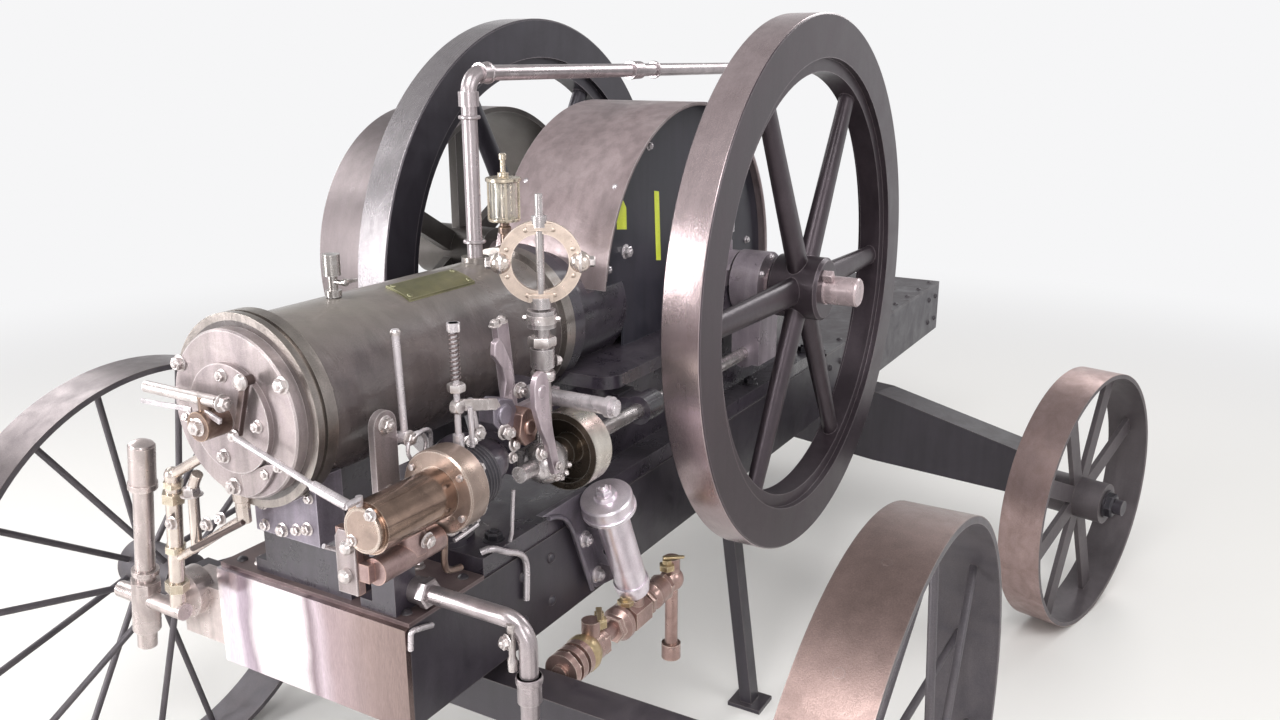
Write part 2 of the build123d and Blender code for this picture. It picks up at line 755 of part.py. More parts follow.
def mixer_foot():
    """Bronze body under the barrel, with a plate at its front."""
    neck_x = (stub_front_x + stub_rear_x) / 2 + 10
    stub = rod_x(stub_front_x, stub_rear_x, side_shaft_y, stub_z, stub_radius)
    neck = rod_z(neck_x, side_shaft_y, stub_z, mixer_z, stub_radius + 3)
    x = stub_front_x
    y = side_shaft_y
    plate = block(x - 14, x, y + 24, y + 68, stub_z - 44, mixer_z - 10)
    web = block(x - 14, x + 14, y, y + 40, stub_z - 16, stub_z + 16)
    return stub + neck + plate + web - rod_x(mixer_front_x - 50, mixer_flange_x, side_shaft_y, mixer_z, mixer_radius)


def mixer_post():
    """Iron post on the deck that carries the bronze body and the upright bracket."""
    post = block(post_front_x, post_rear_x, post_near_y, post_far_y, deck_top, crank_z - side_shaft_drop)
    arm = block(post_front_x + 8, post_rear_x - 8, side_shaft_y, post_near_y + 4, stub_z - 20, stub_z + 20)
    foot = block(post_front_x, post_rear_x + 30, post_near_y, post_far_y + 30, deck_top, deck_top + 18)
    return post + arm + foot - mixer_foot()


def bracket():
    y0 = post_near_y + 34
    top_z = crank_z - bracket_drop
    half = bracket_radius
    foot_z = crank_z - side_shaft_drop
    plate = block(bracket_x - half, bracket_x + half, y0, y0 + bracket_thickness, foot_z, top_z)
    return plate + rod_y(bracket_x, y0, y0 + bracket_thickness, top_z, bracket_radius)


def hand_lever():
    y = post_near_y + 34 - hand_lever_radius
    pivot_x = bracket_x + 40
    pivot_z = crank_z - 60
    arm = bar((pivot_x, y, pivot_z), (pivot_x - 8, y, crank_z + hand_lever_top), hand_lever_radius)
    eye = rod_y(pivot_x, y - 9, y + hand_lever_radius, pivot_z, 13)
    back = y + hand_lever_radius
    link = block(bracket_x + 10, pivot_x, back, back + 10, pivot_z - 9, pivot_z + 9)
    link -= bracket()
    return arm + eye + link


def spring_post():
    x = spring_post_x
    y = side_shaft_y
    top = crank_z + spring_post_top
    post = rod_z(x, y, mixer_z, top, 6) + rod_z(x, y, top - 14, top, 12)
    post += rod_z(x, y, crank_z + 30, crank_z + 42, 14) + rod_z(x, y, mixer_z, mixer_z + mixer_neck_radius + 30, 10)
    return post - rod_x(mixer_flange_x, mixer_neck_rear_x, y, mixer_z, mixer_neck_radius)


# Head gear

def valve_lever():
    face = head_face_x - valve_disc_thickness
    x = face - 14
    head = (x, pivot_y, crank_z + pivot_rise)
    foot = (x, valve_lever_foot_y, crank_z - valve_lever_foot_drop)
    lever = flat_bar(head, foot, valve_lever_width, 10, (1, 0, 0))
    return lever + rod_x(face, x - 8, pivot_y, crank_z + pivot_rise, pivot_radius)


def push_rod():
    x = head_face_x - push_rod_stand_off
    end_y = side_shaft_y + 8
    start = (x, valve_lever_foot_y, crank_z - valve_lever_foot_drop)
    knee = (x, end_y * 0.75, crank_z - push_rod_end_drop * 0.8)
    end = (x, end_y, crank_z - push_rod_end_drop)
    post_x = mixer_front_x + 6
    rod = bar(start, knee, push_rod_radius) + bar(knee, end, push_rod_radius + 3)
    rod += rod_x(x - 6, post_x, end_y, crank_z - push_rod_end_drop, push_rod_radius)
    rod += rod_z(post_x, end_y, mixer_z, crank_z - push_rod_end_drop + 6, push_rod_radius)
    rod += rod_x(x - 6, head_face_x - valve_disc_thickness - 19, start[1], start[2], push_rod_radius)
    return rod - mixer_barrel() - valve_lever()


def igniter_body():
    z = crank_z - 5
    body = rod_x(head_face_x - 62, head_face_x, igniter_y, z, igniter_radius)
    x = head_face_x - 44
    body += rod_y(x, igniter_y - 44, igniter_y + 150, z + 44, 7)
    return body + rod_z(x, igniter_y, z, z + 50, 11)


# Fuel pump, valve train and pipes

def pump_plane():
    top = Vector(pump_top_x, pump_y, crank_z - pump_top_drop)
    foot = Vector(pump_foot_x, pump_y, crank_z - pump_foot_drop)
    return Plane(top, z_dir=foot - top), (foot - top).length


def pump():
    plane, length = pump_plane()
    body = plane * Pos(0, 0, length / 2) * Cylinder(pump_radius, length)
    cap = plane * Pos(0, 0, pump_cap_length / 2) * Cylinder(pump_cap_radius, pump_cap_length)
    ring = plane * Pos(0, 0, length * 0.55) * Cylinder(pump_radius + 4, 14)
    stem = plane * Pos(0, 0, -8) * Cylinder(13, 32)
    return body + cap + ring + stem


def pump_bracket():
    """Flanged plate on the side rail with a saddle for the pump."""
    high = crank_z - pump_top_drop - 15
    low = crank_z - pump_foot_drop + 12
    x0 = pump_top_x
    x1 = pump_foot_x
    y_out = base_near_y - pump_plate_thickness
    outline = [(x0 - 150, high), (x0 - 66, high - 30), (x0 - 26, high - 84), (x0 + 34, low + 40),
               (x0 + 56, low + 12), (x1 + 4, low), (x1 + 30, low + 26), (x0 + 62, high - 40), (x0 + 30, high)]
    plate = side_plate(outline, y_out, base_near_y)
    saddle = [(x0 + 22, high - 90), (x0 + 66, high - 90), (x1 - 20, low + 70), (x1 - 64, low + 70)]
    return plate + side_plate(saddle, pump_y, y_out + 1) - pump()


def valve_train():
    y = pump_y
    z = crank_z - train_drop
    big = train_fitting_radius
    pump_x = pump_foot_x - 10
    pipe = rod_x(train_front_x, train_rear_x, y, z, train_radius)
    for x in (train_front_x + 18, train_front_x + 46, train_front_x + 74):
        pipe += rod_x(x - 9, x + 9, y, z, big + 6)
    pipe += rod_x(train_front_x + 95, train_front_x + 155, y, z, big)
    pipe += rod_z(train_front_x + 125, y, z, z + 66, big * 0.6)
    pipe += Pos(pump_x, y, z) * Rot(0, 90, 0) * extrude(RegularPolygon(big + 6, 6), 36, both=True)
    pipe += rod_z(pump_x, y, z, z + 70, big - 6)
    pipe += rod_x(train_rear_x - 100, train_rear_x - 56, y, z, big - 2)
    pipe += Pos(train_rear_x, y, z) * Sphere(big - 4) + rod_z(train_rear_x, y, z, z + 58, big * 0.6)
    pipe += rod_z(train_rear_x, y, z - train_fall, z, train_radius - 2)
    pipe += rod_z(train_rear_x, y, z - train_fall, z - train_fall + 40, train_radius + 6)
    return pipe - pump()


def front_pipe():
    radius = front_pipe_diameter / 2
    x = front_pipe_x
    y = front_pipe_y
    z = crank_z - front_pipe_drop
    start_y = post_near_y
    corners = [(x, start_y, z), (x, y, z), (x, y, z - front_pipe_fall)]
    path = FilletPolyline(*corners, radius=1.4 * front_pipe_diameter)
    pipe = sweep(Plane(path @ 0, z_dir=path % 0) * Circle(radius), path=path)
    low = z - front_pipe_collar_drop
    pipe += rod_z(x, y, low - front_pipe_collar, low, radius + 5)
    pipe += rod_y(x, start_y - 24, start_y, z, radius + 8)
    return pipe - mixer_post()


def left_pipe():
    """Leaning upright with a cap and a cross arm, on a flange beside the front plate."""
    radius = left_pipe_radius
    x = left_pipe_x
    foot_z = crank_z - left_pipe_foot_drop
    arm_z = crank_z - left_cross_drop
    top = left_pipe_foot_drop - left_pipe_top
    upright = rod_z(x, 0, -left_pipe_tail, top, radius) + rod_z(x, 0, top - left_pipe_cap, top, radius + 6)
    upright += rod_z(x, 0, -20, left_pipe_sleeve, radius + 8)
    body = Pos(0, left_pipe_foot_y, foot_z) * Rot(left_pipe_lean, 0, 0) * upright
    body += rod_y(x, brass_riser_foot_y - 20, left_pipe_foot_y + left_arm_reach, arm_z, radius - 2)
    flange_x = sub_base_front_x - 20
    body += rod_x(x, flange_x, left_seat_y, arm_z, radius - 4)
    body += rod_x(flange_x, sub_base_front_x + 18, left_seat_y, arm_z, left_seat_radius)
    tab_x = sub_base_front_x + left_seat_tab
    tab = block(sub_base_front_x, tab_x, base_far_y, left_seat_y + 34, arm_z - 100, arm_z + 20)
    return body + tab


def brass_riser():
    """Brass feed pipe from the cross arm up to the edge of the head."""
    x = left_pipe_x
    low = (x, brass_riser_foot_y, crank_z - left_cross_drop)
    top = (x, brass_riser_top_y, crank_z - jacket_radius)
    riser = bar(low, top, brass_riser_radius) + Pos(*top) * Sphere(brass_riser_radius + 1)
    riser += bar(top, (x, head_diameter * 0.36, crank_z - head_diameter * 0.32), brass_riser_radius - 5)
    riser -= rod_y(x, 0, left_pipe_foot_y, low[2], left_pipe_radius - 2)
    return riser - head_plate() - jacket_outside()


# Axles and road wheels

def spindle_bore():
    return wheel_spindle_diameter / 2 + pin_clearance


def head_axle():
    inner = head_wheel_track / 2 - head_wheel_width / 2 - axle_beam_gap
    x = head_wheel_x
    y = truck_offset_y
    z = head_wheel_z
    d = axle_half_depth
    beam = block(x - d, x + d, y - inner, y + inner, z - d, z + d)
    half = axle_pad_length / 2
    pad = block(x - half, x + half, -axle_pad_half, axle_pad_half, z + d - 5, sub_base_bottom)
    reach = head_wheel_track / 2 + head_wheel_width / 2 + axle_end_reach
    spindle = rod_y(x, y - reach, y + reach, z, wheel_spindle_diameter / 2)
    return beam + pad + spindle


def road_wheel(radius, width, hub_radius, spokes, make_spoke):
    """Rim, hub and spokes, each spoke trimmed to both."""
    inner = radius - rim_sheet
    rim = between(inner, radius, width)
    hub = Cylinder(hub_radius, wheel_hub_length) - Cylinder(spindle_bore(), wheel_hub_length)
    gap = between(hub_radius, inner, wheel_hub_length)
    solids = [*rim.solids(), *hub.solids()]
    for i in range(spokes):
        solids += (make_spoke(i) & gap).solids()
    return Compound(solids)


def head_wheel(side):
    radius = head_wheel_diameter / 2

    def rod(i):
        a = 2 * pi * (i + 0.5) / head_wheel_spokes
        offset = head_hub_radius if i % 2 else -head_hub_radius
        start = (50 * cos(a), 50 * sin(a), offset)
        end = (radius * cos(a), radius * sin(a), offset * 0.25)
        return bar(start, end, 8)

    wheel = road_wheel(radius, head_wheel_width, head_hub_radius, head_wheel_spokes, rod)
    y = truck_offset_y + side * head_wheel_track / 2
    return Pos(head_wheel_x, y, head_wheel_z) * Rot(90, 0, 0) * wheel


def turned(shape):
    """Turns a straight-ahead steering part into its rest position about the king pin."""
    return Pos(steer_pin_x, truck_offset_y, 0) * Rot(0, 0, steer_rest_angle) * shape


def steer_wheel(side):
    radius = steer_wheel_diameter / 2

    def flat(i):
        return Rot(0, 0, 360 * (i + 0.5) / steer_wheel_spokes) * Pos(radius / 2, 0, 0) * Box(radius, 56, 16)

    wheel = road_wheel(radius, steer_wheel_width, steer_hub_radius, steer_wheel_spokes, flat)
    return turned(Pos(0, side * steer_wheel_track / 2, steer_wheel_z) * Rot(90, 0, 0) * wheel)


def steer_axle():
    top = sub_base_bottom - turn_plate_thickness - steer_gap
    bottom = steer_wheel_z - 55
    inner = steer_wheel_track / 2 - 110
    upper = [(-inner, top - 95), (-260, top), (260, top), (inner, top - 95)]
    lower = [(inner, bottom + 30), (260, bottom), (-260, bottom), (-inner, bottom + 30)]
    outline = upper + lower
    beam = extrude(Plane.YZ * make_face(Polyline(*outline, close=True)), 60, both=True)
    reach = steer_wheel_track / 2 + 150
    spindle = rod_y(0, -reach, reach, steer_wheel_z, wheel_spindle_diameter / 2)
    pin = rod_z(0, 0, top - 30, sub_base_top - 2 * sub_base_wall - 60, steer_pin_diameter / 2)
    return turned(beam + spindle + pin)


def turn_plate():
    z0 = sub_base_bottom - turn_plate_thickness
    plate = rod_z(steer_pin_x, truck_offset_y, z0, sub_base_bottom, turn_plate_radius)
    return plate - king_pin_bore(z0 - 10, sub_base_bottom + 10)


pieces = {
    "side_rail_near": side_rail(-1),
    "side_rail_far": side_rail(1),
    "sub_base_front_plate": front_plate(),
    "sub_base_cross_members": cross_members(),
    "front_deck_plate": front_deck(),
    "rear_deck_plate": rear_deck(),
    "prop_leg_near": prop_leg(),
    "engine_bed": engine_bed(),
    "bearing_cap_near": bearing_cap(-1),
    "bearing_cap_far": bearing_cap(1),
    "crank_hood": crank_hood(),
    "hood_side_near": hood_side(-1),
    "hood_side_far": hood_side(1),
    "cylinder_jacket": cylinder_jacket(),
    "cylinder_pedestal": cylinder_pedestal(),
    "valve_box": valve_box(),
    "cylinder_head": head_plate(),
    "valve_chest": valve_chest(),
    "cylinder_top_cover": top_cover(),
    "water_riser_pipe": riser_pipe(),
    "drip_oiler_brass": oiler_brass(),
    "drip_oiler_glass": oiler_glass(),
    "priming_cup": priming_cup(),
    "spiral_gear_case": gear_case(),
    "side_shaft_bearing": shaft_bearing(side_bearing_x, side_bearing_length),
    "governor_housing": governor_housing(),
    "mixer_barrel": mixer_barrel(),
    "mixer_foot": mixer_foot(),
    "mixer_post": mixer_post(),
    "mixer_elbow": mixer_elbow(),
    "valve_lever": valve_lever(),
    "valve_push_rod": push_rod(),
    "igniter": igniter_body(),
    "upright_bracket": bracket(),
    "hand_lever": hand_lever(),
    "spring_post": spring_post(),
    "rocker_shaft": rocker_shaft(),
    "trip_levers": trip_levers(),
    "fuel_pump": pump(),
    "fuel_pump_bracket": pump_bracket(),
    "bronze_valve_train": valve_train(),
    "front_pipe": front_pipe(),
    "left_pipe": left_pipe(),
    "brass_riser": brass_riser(),
    "head_axle": head_axle(),
    "turn_plate": turn_plate(),
    "crankshaft": crankshaft(),
    "flywheel_near": flywheel(-1),
    "flywheel_far": flywheel(1),
    "belt_pulley": belt_pulley(),
    "side_shaft": side_shaft(),
    "cam_drum": cam_drum(),
    "governor_spindle": governor_spindle(),
    "governor_arms": governor_arms(),
    "governor_balls": governor_balls(),
    "steering_axle": steer_axle(),
    "steering_wheel_near": steer_wheel(-1),
    "steering_wheel_far": steer_wheel(1),
    "head_wheel_near": head_wheel(-1),
    "head_wheel_far": head_wheel(1),
}

os.makedirs("parts", exist_ok=True)
for name, shape in pieces.items():
    export_step(Pos(-origin_x, -truck_offset_y, 0) * shape, f"parts/{name}.step")
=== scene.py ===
import json
import math

import bmesh
import bpy
from mathutils import Matrix, Vector


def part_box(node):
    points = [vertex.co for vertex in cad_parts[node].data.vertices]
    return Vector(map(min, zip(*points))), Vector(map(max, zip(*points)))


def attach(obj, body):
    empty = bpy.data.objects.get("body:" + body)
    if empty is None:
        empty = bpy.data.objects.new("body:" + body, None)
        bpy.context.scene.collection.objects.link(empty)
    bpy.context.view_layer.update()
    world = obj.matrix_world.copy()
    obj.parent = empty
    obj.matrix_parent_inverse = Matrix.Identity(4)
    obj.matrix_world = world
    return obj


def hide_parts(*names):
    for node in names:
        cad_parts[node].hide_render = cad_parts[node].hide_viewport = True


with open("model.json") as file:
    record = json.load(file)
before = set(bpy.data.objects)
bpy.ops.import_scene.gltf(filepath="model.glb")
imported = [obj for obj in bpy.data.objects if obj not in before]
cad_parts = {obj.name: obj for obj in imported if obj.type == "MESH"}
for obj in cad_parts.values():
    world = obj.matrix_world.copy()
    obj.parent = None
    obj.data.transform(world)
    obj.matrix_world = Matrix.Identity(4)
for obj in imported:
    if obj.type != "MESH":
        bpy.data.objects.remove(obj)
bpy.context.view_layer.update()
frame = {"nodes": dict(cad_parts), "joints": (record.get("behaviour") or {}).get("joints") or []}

# ---------------------------------------------------------------- place
# Every place below is written in metres from the middle of the crankshaft, between the
# two flywheels, as a mechanic would measure the engine. at() turns it into the frame.
corners = [Vector(c) for name in ("flywheel_near", "flywheel_far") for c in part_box(name)]
crank = sum(corners, Vector()) / len(corners)
FLOOR = -crank.z


def at(x, y, z):
    """A place in engine metres as a place in the frame."""
    return crank + Vector((x, y, z))


# Ways on the engine: the head end lies to the left, and the side shaft's side is the near one
HEAD, REAR = (-1, 0, 0), (1, 0, 0)
NEAR, FAR = (0, -1, 0), (0, 1, 0)
DOWN, UP = (0, 0, -1), (0, 0, 1)


# ---------------------------------------------------------------- camera and studio
# A hand-held view from above the cylinder head, on the side shaft's side. A white floor
# and a pale sky, one large soft lamp over the head and weaker ones around it.
forward = Vector((0.8337, 0.4813, -0.2706)).normalized()
right = forward.cross(Vector(UP)).normalized()
up = right.cross(forward)
view = Matrix((right, up, -forward)).transposed().to_4x4()
view.translation = at(-2.67, -1.481, 0.592)
camera = bpy.data.objects.new("camera", bpy.data.cameras.new("camera"))
camera.matrix_world = view
camera.data.lens = 30.27
camera.data.clip_start = 0.05
bpy.context.scene.collection.objects.link(camera)
bpy.context.scene.camera = camera


def lamp(name, place, watts, width, height):
    """A soft box that faces the middle of the engine."""
    light = bpy.data.lights.new(name, "AREA")
    light.shape = "RECTANGLE"
    light.energy = watts
    light.size = width
    light.size_y = height
    box = bpy.data.objects.new(name, light)
    box.location = at(*place)
    box.rotation_euler = (at(-0.3, 0, -0.2) - box.location).to_track_quat("-Z", "Y").to_euler()
    bpy.context.scene.collection.objects.link(box)


lamp("lamp_over_head", (-3.0, -1.0, 3.2), 140, 2.4, 1.6)
lamp("lamp_head_side", (-4.4, 2.4, 0.65), 160, 1.0, 2.5)
lamp("lamp_near_head", (-4.2, -2.7, 1.0), 42, 0.6, 2.4)
lamp("lamp_far_side", (-0.8, 4.6, 2.4), 90, 3.0, 1.6)
lamp("lamp_behind", (4.4, -1.6, 2.8), 90, 2.6, 1.8)
lamp("lamp_near_side", (-0.6, -4.4, 2.2), 60, 2.4, 1.4)


def add(tree, kind, settings=(), **links):
    """Adds one shader node: settings are its own values, links its inputs, by name or _number."""
    new = tree.nodes.new("ShaderNode" + kind)
    for key, value in dict(settings).items():
        setattr(new, key, value)
    for key, value in links.items():
        if key[0] == "_":
            slot = new.inputs[int(key[1:])]
        else:
            slot = new.inputs[key.replace("_", " ")]
        if isinstance(value, bpy.types.NodeSocket):
            tree.links.new(value, slot)
        else:
            slot.default_value = value
    return new


# Settings that several nodes share
CLAMPED = {"clamp": True}
EASED = {"clamp": True, "interpolation_type": "SMOOTHSTEP"}
COLOURS = {"data_type": "RGBA"}
NUMBERS = {"data_type": "FLOAT"}
TINTED = {"data_type": "RGBA", "blend_type": "MULTIPLY"}
TIMES = {"operation": "MULTIPLY"}
TIMES_PLUS = {"operation": "MULTIPLY_ADD"}
DOT = {"operation": "DOT_PRODUCT"}
LENGTH = {"operation": "LENGTH"}


def paint(code):
    """An sRGB hex colour as the linear colour that a shader takes."""
    parts = [int(code[i:i + 2], 16) / 255 for i in (1, 3, 5)]
    return tuple(c / 12.92 if c <= 0.04045 else ((c + 0.055) / 1.055) ** 2.4 for c in parts) + (1.0,)


# The sky is white near the horizon, for the camera as for metal and glass, and dims
# higher up, so that round metal shows a dark band. As a light it is weaker.
horizon, dim_height = 0.14, 0.5
dim_sky, sky_as_light = 0.42, 0.5
world = bpy.data.worlds.new("studio_sky")
bpy.context.scene.world = world
world.use_nodes = True
sky = world.node_tree
sky.nodes.clear()
ray = add(sky, "LightPath")
height = add(sky, "SeparateXYZ", (), _0=add(sky, "TexCoord").outputs["Generated"])
shade = add(sky, "MapRange", EASED, _0=height.outputs["Z"],
            _1=horizon, _2=dim_height, _3=1.0, _4=dim_sky)
strength = add(sky, "Mix", NUMBERS, _0=ray.outputs["Is Diffuse Ray"], _2=shade.outputs[0],
               _3=sky_as_light)
light = add(sky, "Background", (), Color=paint("#F6F6F7"), Strength=strength.outputs[0])
add(sky, "OutputWorld", (), Surface=light.outputs[0])

# The floor is swept concrete, pale and dull. Far from the engine it is lit like the sky,
# so that no grey band is left behind the wheels.
fade_start, fade_end = 2.2, 7.0
floor_mesh = bpy.data.meshes.new("floor")
bm = bmesh.new()
bmesh.ops.create_grid(bm, size=14)
bm.to_mesh(floor_mesh)
bm.free()
floor = bpy.data.objects.new("floor", floor_mesh)
floor.location = at(0, 0, FLOOR)
bpy.context.scene.collection.objects.link(floor)
swept = bpy.data.materials.new("swept_pale_floor")
swept.use_nodes = True
tree = swept.node_tree
out = tree.nodes["Material Output"]
ground = tree.nodes["Principled BSDF"]
ground.inputs["Base Color"].default_value = paint("#E4E2DF")
ground.inputs["Roughness"].default_value = 0.55
place = add(tree, "TexCoord")
far = add(tree, "VectorMath", LENGTH, _0=place.outputs["Object"])
fade = add(tree, "MapRange", EASED, _0=far.outputs["Value"],
           _1=fade_start, _2=fade_end)
ray = add(tree, "LightPath")
seen = add(tree, "Math", {"operation": "SUBTRACT"}, _0=1.0, _1=ray.outputs["Is Diffuse Ray"])
eye = add(tree, "Math", TIMES, _0=fade.outputs[0], _1=seen.outputs[0])
glow = add(tree, "Emission", (), Color=paint("#F6F6F7"), Strength=1.0)
blend = add(tree, "MixShader", (), Fac=eye.outputs[0], _1=ground.outputs[0], _2=glow.outputs[0])
tree.links.new(blend.outputs[0], out.inputs["Surface"])
floor_mesh.materials.append(swept)
bpy.context.scene.view_settings.view_transform = "Standard"


# ---------------------------------------------------------------- truck frame
# Two rolled steel channels with plates, cross members, a turn plate and two axles, all
# once painted a blue black. Oil, dust on what faces up, and bare steel on the edges.
tread_skin = 0.001
oil_run_mm, turning_mm = 28, 5
tread_metal, film_rough = 0.9, 0.12


def weathered(name, body, patch, edge_wear_and_highlight, dust_and_lit_top_colour, grain_mm, patch_mm, metal=0.85, rough=(0.24, 0.42), rub=0.5,
              dust_and_lit_top=0.1, bump=0.1, oil=0.18, cloud=0.25, wavy=0.05, coat=0.0, edge_mm=4, stretch=(1, 1, 1),
              detail=6.0, tread=None, turned=0.3):
    """A metal skin that has aged: two tones in patches, rubbed edges that on some skins also paint highlights
    along the edges, and dust on top faces that on the cylinder jacket also paints the light on its top.

    grain_mm is the width of a grain of the casting, plating or rust, and patch_mm that of a
    patch. A real grain is some 0.3 mm, too fine to show, and is drawn as coarse as it needs.
    With tread=(centre, axis, radius, bare, worn, (smooth, rough)) what lies as far from the
    axis as the radius is bare metal in two tones: turned on a lathe, or rubbed by use."""
    skin = bpy.data.materials.new(name)
    skin.use_nodes = True
    tree = skin.node_tree
    shader = tree.nodes["Principled BSDF"]
    place = add(tree, "TexCoord")
    drawn_out = add(tree, "Mapping", (), Vector=place.outputs["Object"], Scale=stretch)
    patches = add(tree, "TexNoise", (), Vector=drawn_out.outputs[0], Scale=1000 / patch_mm,
                  Detail=detail, Roughness=0.62, Distortion=0.5)
    grain = add(tree, "TexNoise", (), Vector=drawn_out.outputs[0], Scale=1000 / grain_mm,
                Detail=3.0, Roughness=0.6)
    spread = add(tree, "MapRange", CLAMPED, _0=patches.outputs["Fac"], _1=0.5 - cloud, _2=0.5 + cloud)
    tone = add(tree, "Mix", COLOURS, _0=spread.outputs[0], _6=paint(body), _7=paint(patch))
    # Oil has run down the upright faces in narrow darker streaks
    runs = add(tree, "Mapping", (), Vector=place.outputs["Object"], Scale=(1.0, 1.0, 0.12))
    streaks = add(tree, "TexNoise", (), Vector=runs.outputs[0], Scale=1000 / oil_run_mm, Detail=3.0)
    wet = add(tree, "MapRange", CLAMPED, _0=streaks.outputs["Fac"], _1=0.35, _2=0.6, _3=1.0 - oil, _4=1.0)
    speck = add(tree, "MapRange", CLAMPED, _0=grain.outputs["Fac"], _1=0.3, _2=0.7, _3=0.82, _4=1.12)
    both = add(tree, "Math", TIMES, _0=wet.outputs[0], _1=speck.outputs[0])
    colour = tone.outputs[2]
    low, high = rough
    sheen = add(tree, "MapRange", CLAMPED, _0=patches.outputs["Fac"], _1=0.3, _2=0.7, _3=low, _4=high)
    rough = sheen.outputs[0]
    shader.inputs["Metallic"].default_value = metal
    if tread:
        centre, axis, radius, bare, worn, bare_rough = tread
        arm = add(tree, "VectorMath", {"operation": "SUBTRACT"}, _0=place.outputs["Object"], _1=centre)
        across = add(tree, "VectorMath", {"operation": "CROSS_PRODUCT"}, _0=arm.outputs[0], _1=axis)
        reach = add(tree, "VectorMath", LENGTH, _0=across.outputs[0])
        outer = add(tree, "MapRange", CLAMPED, _0=reach.outputs["Value"], _1=radius - 2 * tread_skin,
                    _2=radius - tread_skin)
        # Turning marks run round the tread, so they change only along the axle
        along = add(tree, "VectorMath", DOT, _0=arm.outputs[0], _1=axis)
        marks = add(tree, "TexNoise", {"noise_dimensions": "1D"}, W=along.outputs["Value"],
                    Scale=1000 / turning_mm, Detail=4.0, Roughness=0.7)
        lines = add(tree, "Mix", NUMBERS, _0=turned, _2=spread.outputs[0],
                    _3=marks.outputs["Fac"])
        bright = add(tree, "Mix", COLOURS, _0=lines.outputs[0], _6=paint(worn), _7=paint(bare))
        chosen = add(tree, "Mix", COLOURS, _0=outer.outputs[0], _6=tone.outputs[2],
                     _7=bright.outputs[2])
        colour = chosen.outputs[2]
        smooth = add(tree, "MapRange", CLAMPED, _0=lines.outputs[0], _1=0.2, _2=0.8,
                     _3=bare_rough[1], _4=bare_rough[0])
        worked = add(tree, "Mix", NUMBERS, _0=outer.outputs[0], _2=sheen.outputs[0],
                     _3=smooth.outputs[0])
        rough = worked.outputs[0]
        steel = add(tree, "MapRange", (), _0=outer.outputs[0], _3=metal, _4=tread_metal)
        tree.links.new(steel.outputs[0], shader.inputs["Metallic"])
    grained = add(tree, "Mix", TINTED, _0=1.0,
                  _6=colour, _7=both.outputs[0])
    # Rubbed edges, which on some skins also paint highlights along the edges: where a rounded copy of the
    # surface turns away from the real one
    soft = add(tree, "Bevel", {"samples": 4}, Radius=edge_mm / 1000)
    flat = add(tree, "NewGeometry")
    turn = add(tree, "VectorMath", DOT, _0=soft.outputs[0], _1=flat.outputs["Normal"])
    ragged = add(tree, "Math", TIMES_PLUS, _0=patches.outputs["Fac"], _1=0.10,
                 _2=turn.outputs["Value"])
    rubbed = add(tree, "MapRange", CLAMPED, _0=ragged.outputs[0], _1=1.03, _2=0.93,
                 _3=0.0, _4=rub)
    edge_wear_and_highlight_tone = add(tree, "Mix", COLOURS, _0=rubbed.outputs[0], _6=grained.outputs[2], _7=paint(edge_wear_and_highlight))
    # Dust lies on what faces up, in the same patches; where it is laid on thick, as on the cylinder jacket, it
    # also paints the light that falls on the top
    upward = add(tree, "SeparateXYZ", (), _0=place.outputs["Normal"])
    faces_up = add(tree, "MapRange", CLAMPED, _0=upward.outputs["Z"], _1=0.55, _2=1.0)
    drift = add(tree, "Math", TIMES, _0=faces_up.outputs[0], _1=spread.outputs[0])
    thin = add(tree, "Math", TIMES, _0=drift.outputs[0], _1=dust_and_lit_top)
    dust_and_lit_top_tone = add(tree, "Mix", COLOURS, _0=thin.outputs[0], _6=edge_wear_and_highlight_tone.outputs[2], _7=paint(dust_and_lit_top_colour))
    matt = add(tree, "Math", {"operation": "MULTIPLY_ADD", "use_clamp": True}, _0=thin.outputs[0], _1=0.4,
               _2=rough)
    relief = add(tree, "Bump", (), Strength=bump, Distance=grain_mm / 4000,
                 Height=grain.outputs["Fac"])
    hollow = add(tree, "Bump", (), Strength=wavy, Distance=patch_mm / 12000,
                 Height=patches.outputs["Fac"], Normal=relief.outputs[0])
    tree.links.new(dust_and_lit_top_tone.outputs[2], shader.inputs["Base Color"])
    tree.links.new(matt.outputs[0], shader.inputs["Roughness"])
    tree.links.new(hollow.outputs[0], shader.inputs["Normal"])
    shader.inputs["Coat Weight"].default_value = coat
    shader.inputs["Coat Roughness"].default_value = film_rough
    return skin


def cover(skin, *names):
    """Gives CAD nodes their finish."""
    for name in names:
        mesh = frame["nodes"][name].data
        for slot in frame["nodes"][name].material_slots:
            slot.material = skin
        if not mesh.materials:
            mesh.materials.append(skin)


def lathe(bm, place, profile, count=24):
    """Turns (radius, height) pairs round the Z axis of place: a solid where both ends have
    radius 0, and otherwise a ring."""
    rings = []
    for radius, height in profile:
        if radius == 0:
            rings.append([bm.verts.new(place @ Vector((0, 0, height)))] * count)
        else:
            turns = [2 * math.pi * i / count for i in range(count)]
            rings.append([bm.verts.new(place @ Vector((radius * math.cos(a), radius * math.sin(a),
                                                       height))) for a in turns])
    if profile[0][0] and profile[-1][0]:
        rings.append(rings[0])
    for low, high in zip(rings, rings[1:]):
        for i in range(count):
            j = (i + 1) % count
            corners = [low[i], low[j], high[j], high[i]]
            bm.faces.new([v for k, v in enumerate(corners) if v not in corners[:k]])


def band(inner, outer, low, high):
    """The profile of a plain ring, or of a disc where inner is 0."""
    return [(inner, low), (outer, low), (outer, high), (inner, high)]


def facing(point, way, turn=0.0):
    """A place at the point with its Z axis along the given way, turned about that axis."""
    spin = Matrix.Rotation(turn, 4, "Z")
    return Matrix.Translation(point) @ Vector(way).to_track_quat("Z", "Y").to_matrix().to_4x4() @ spin


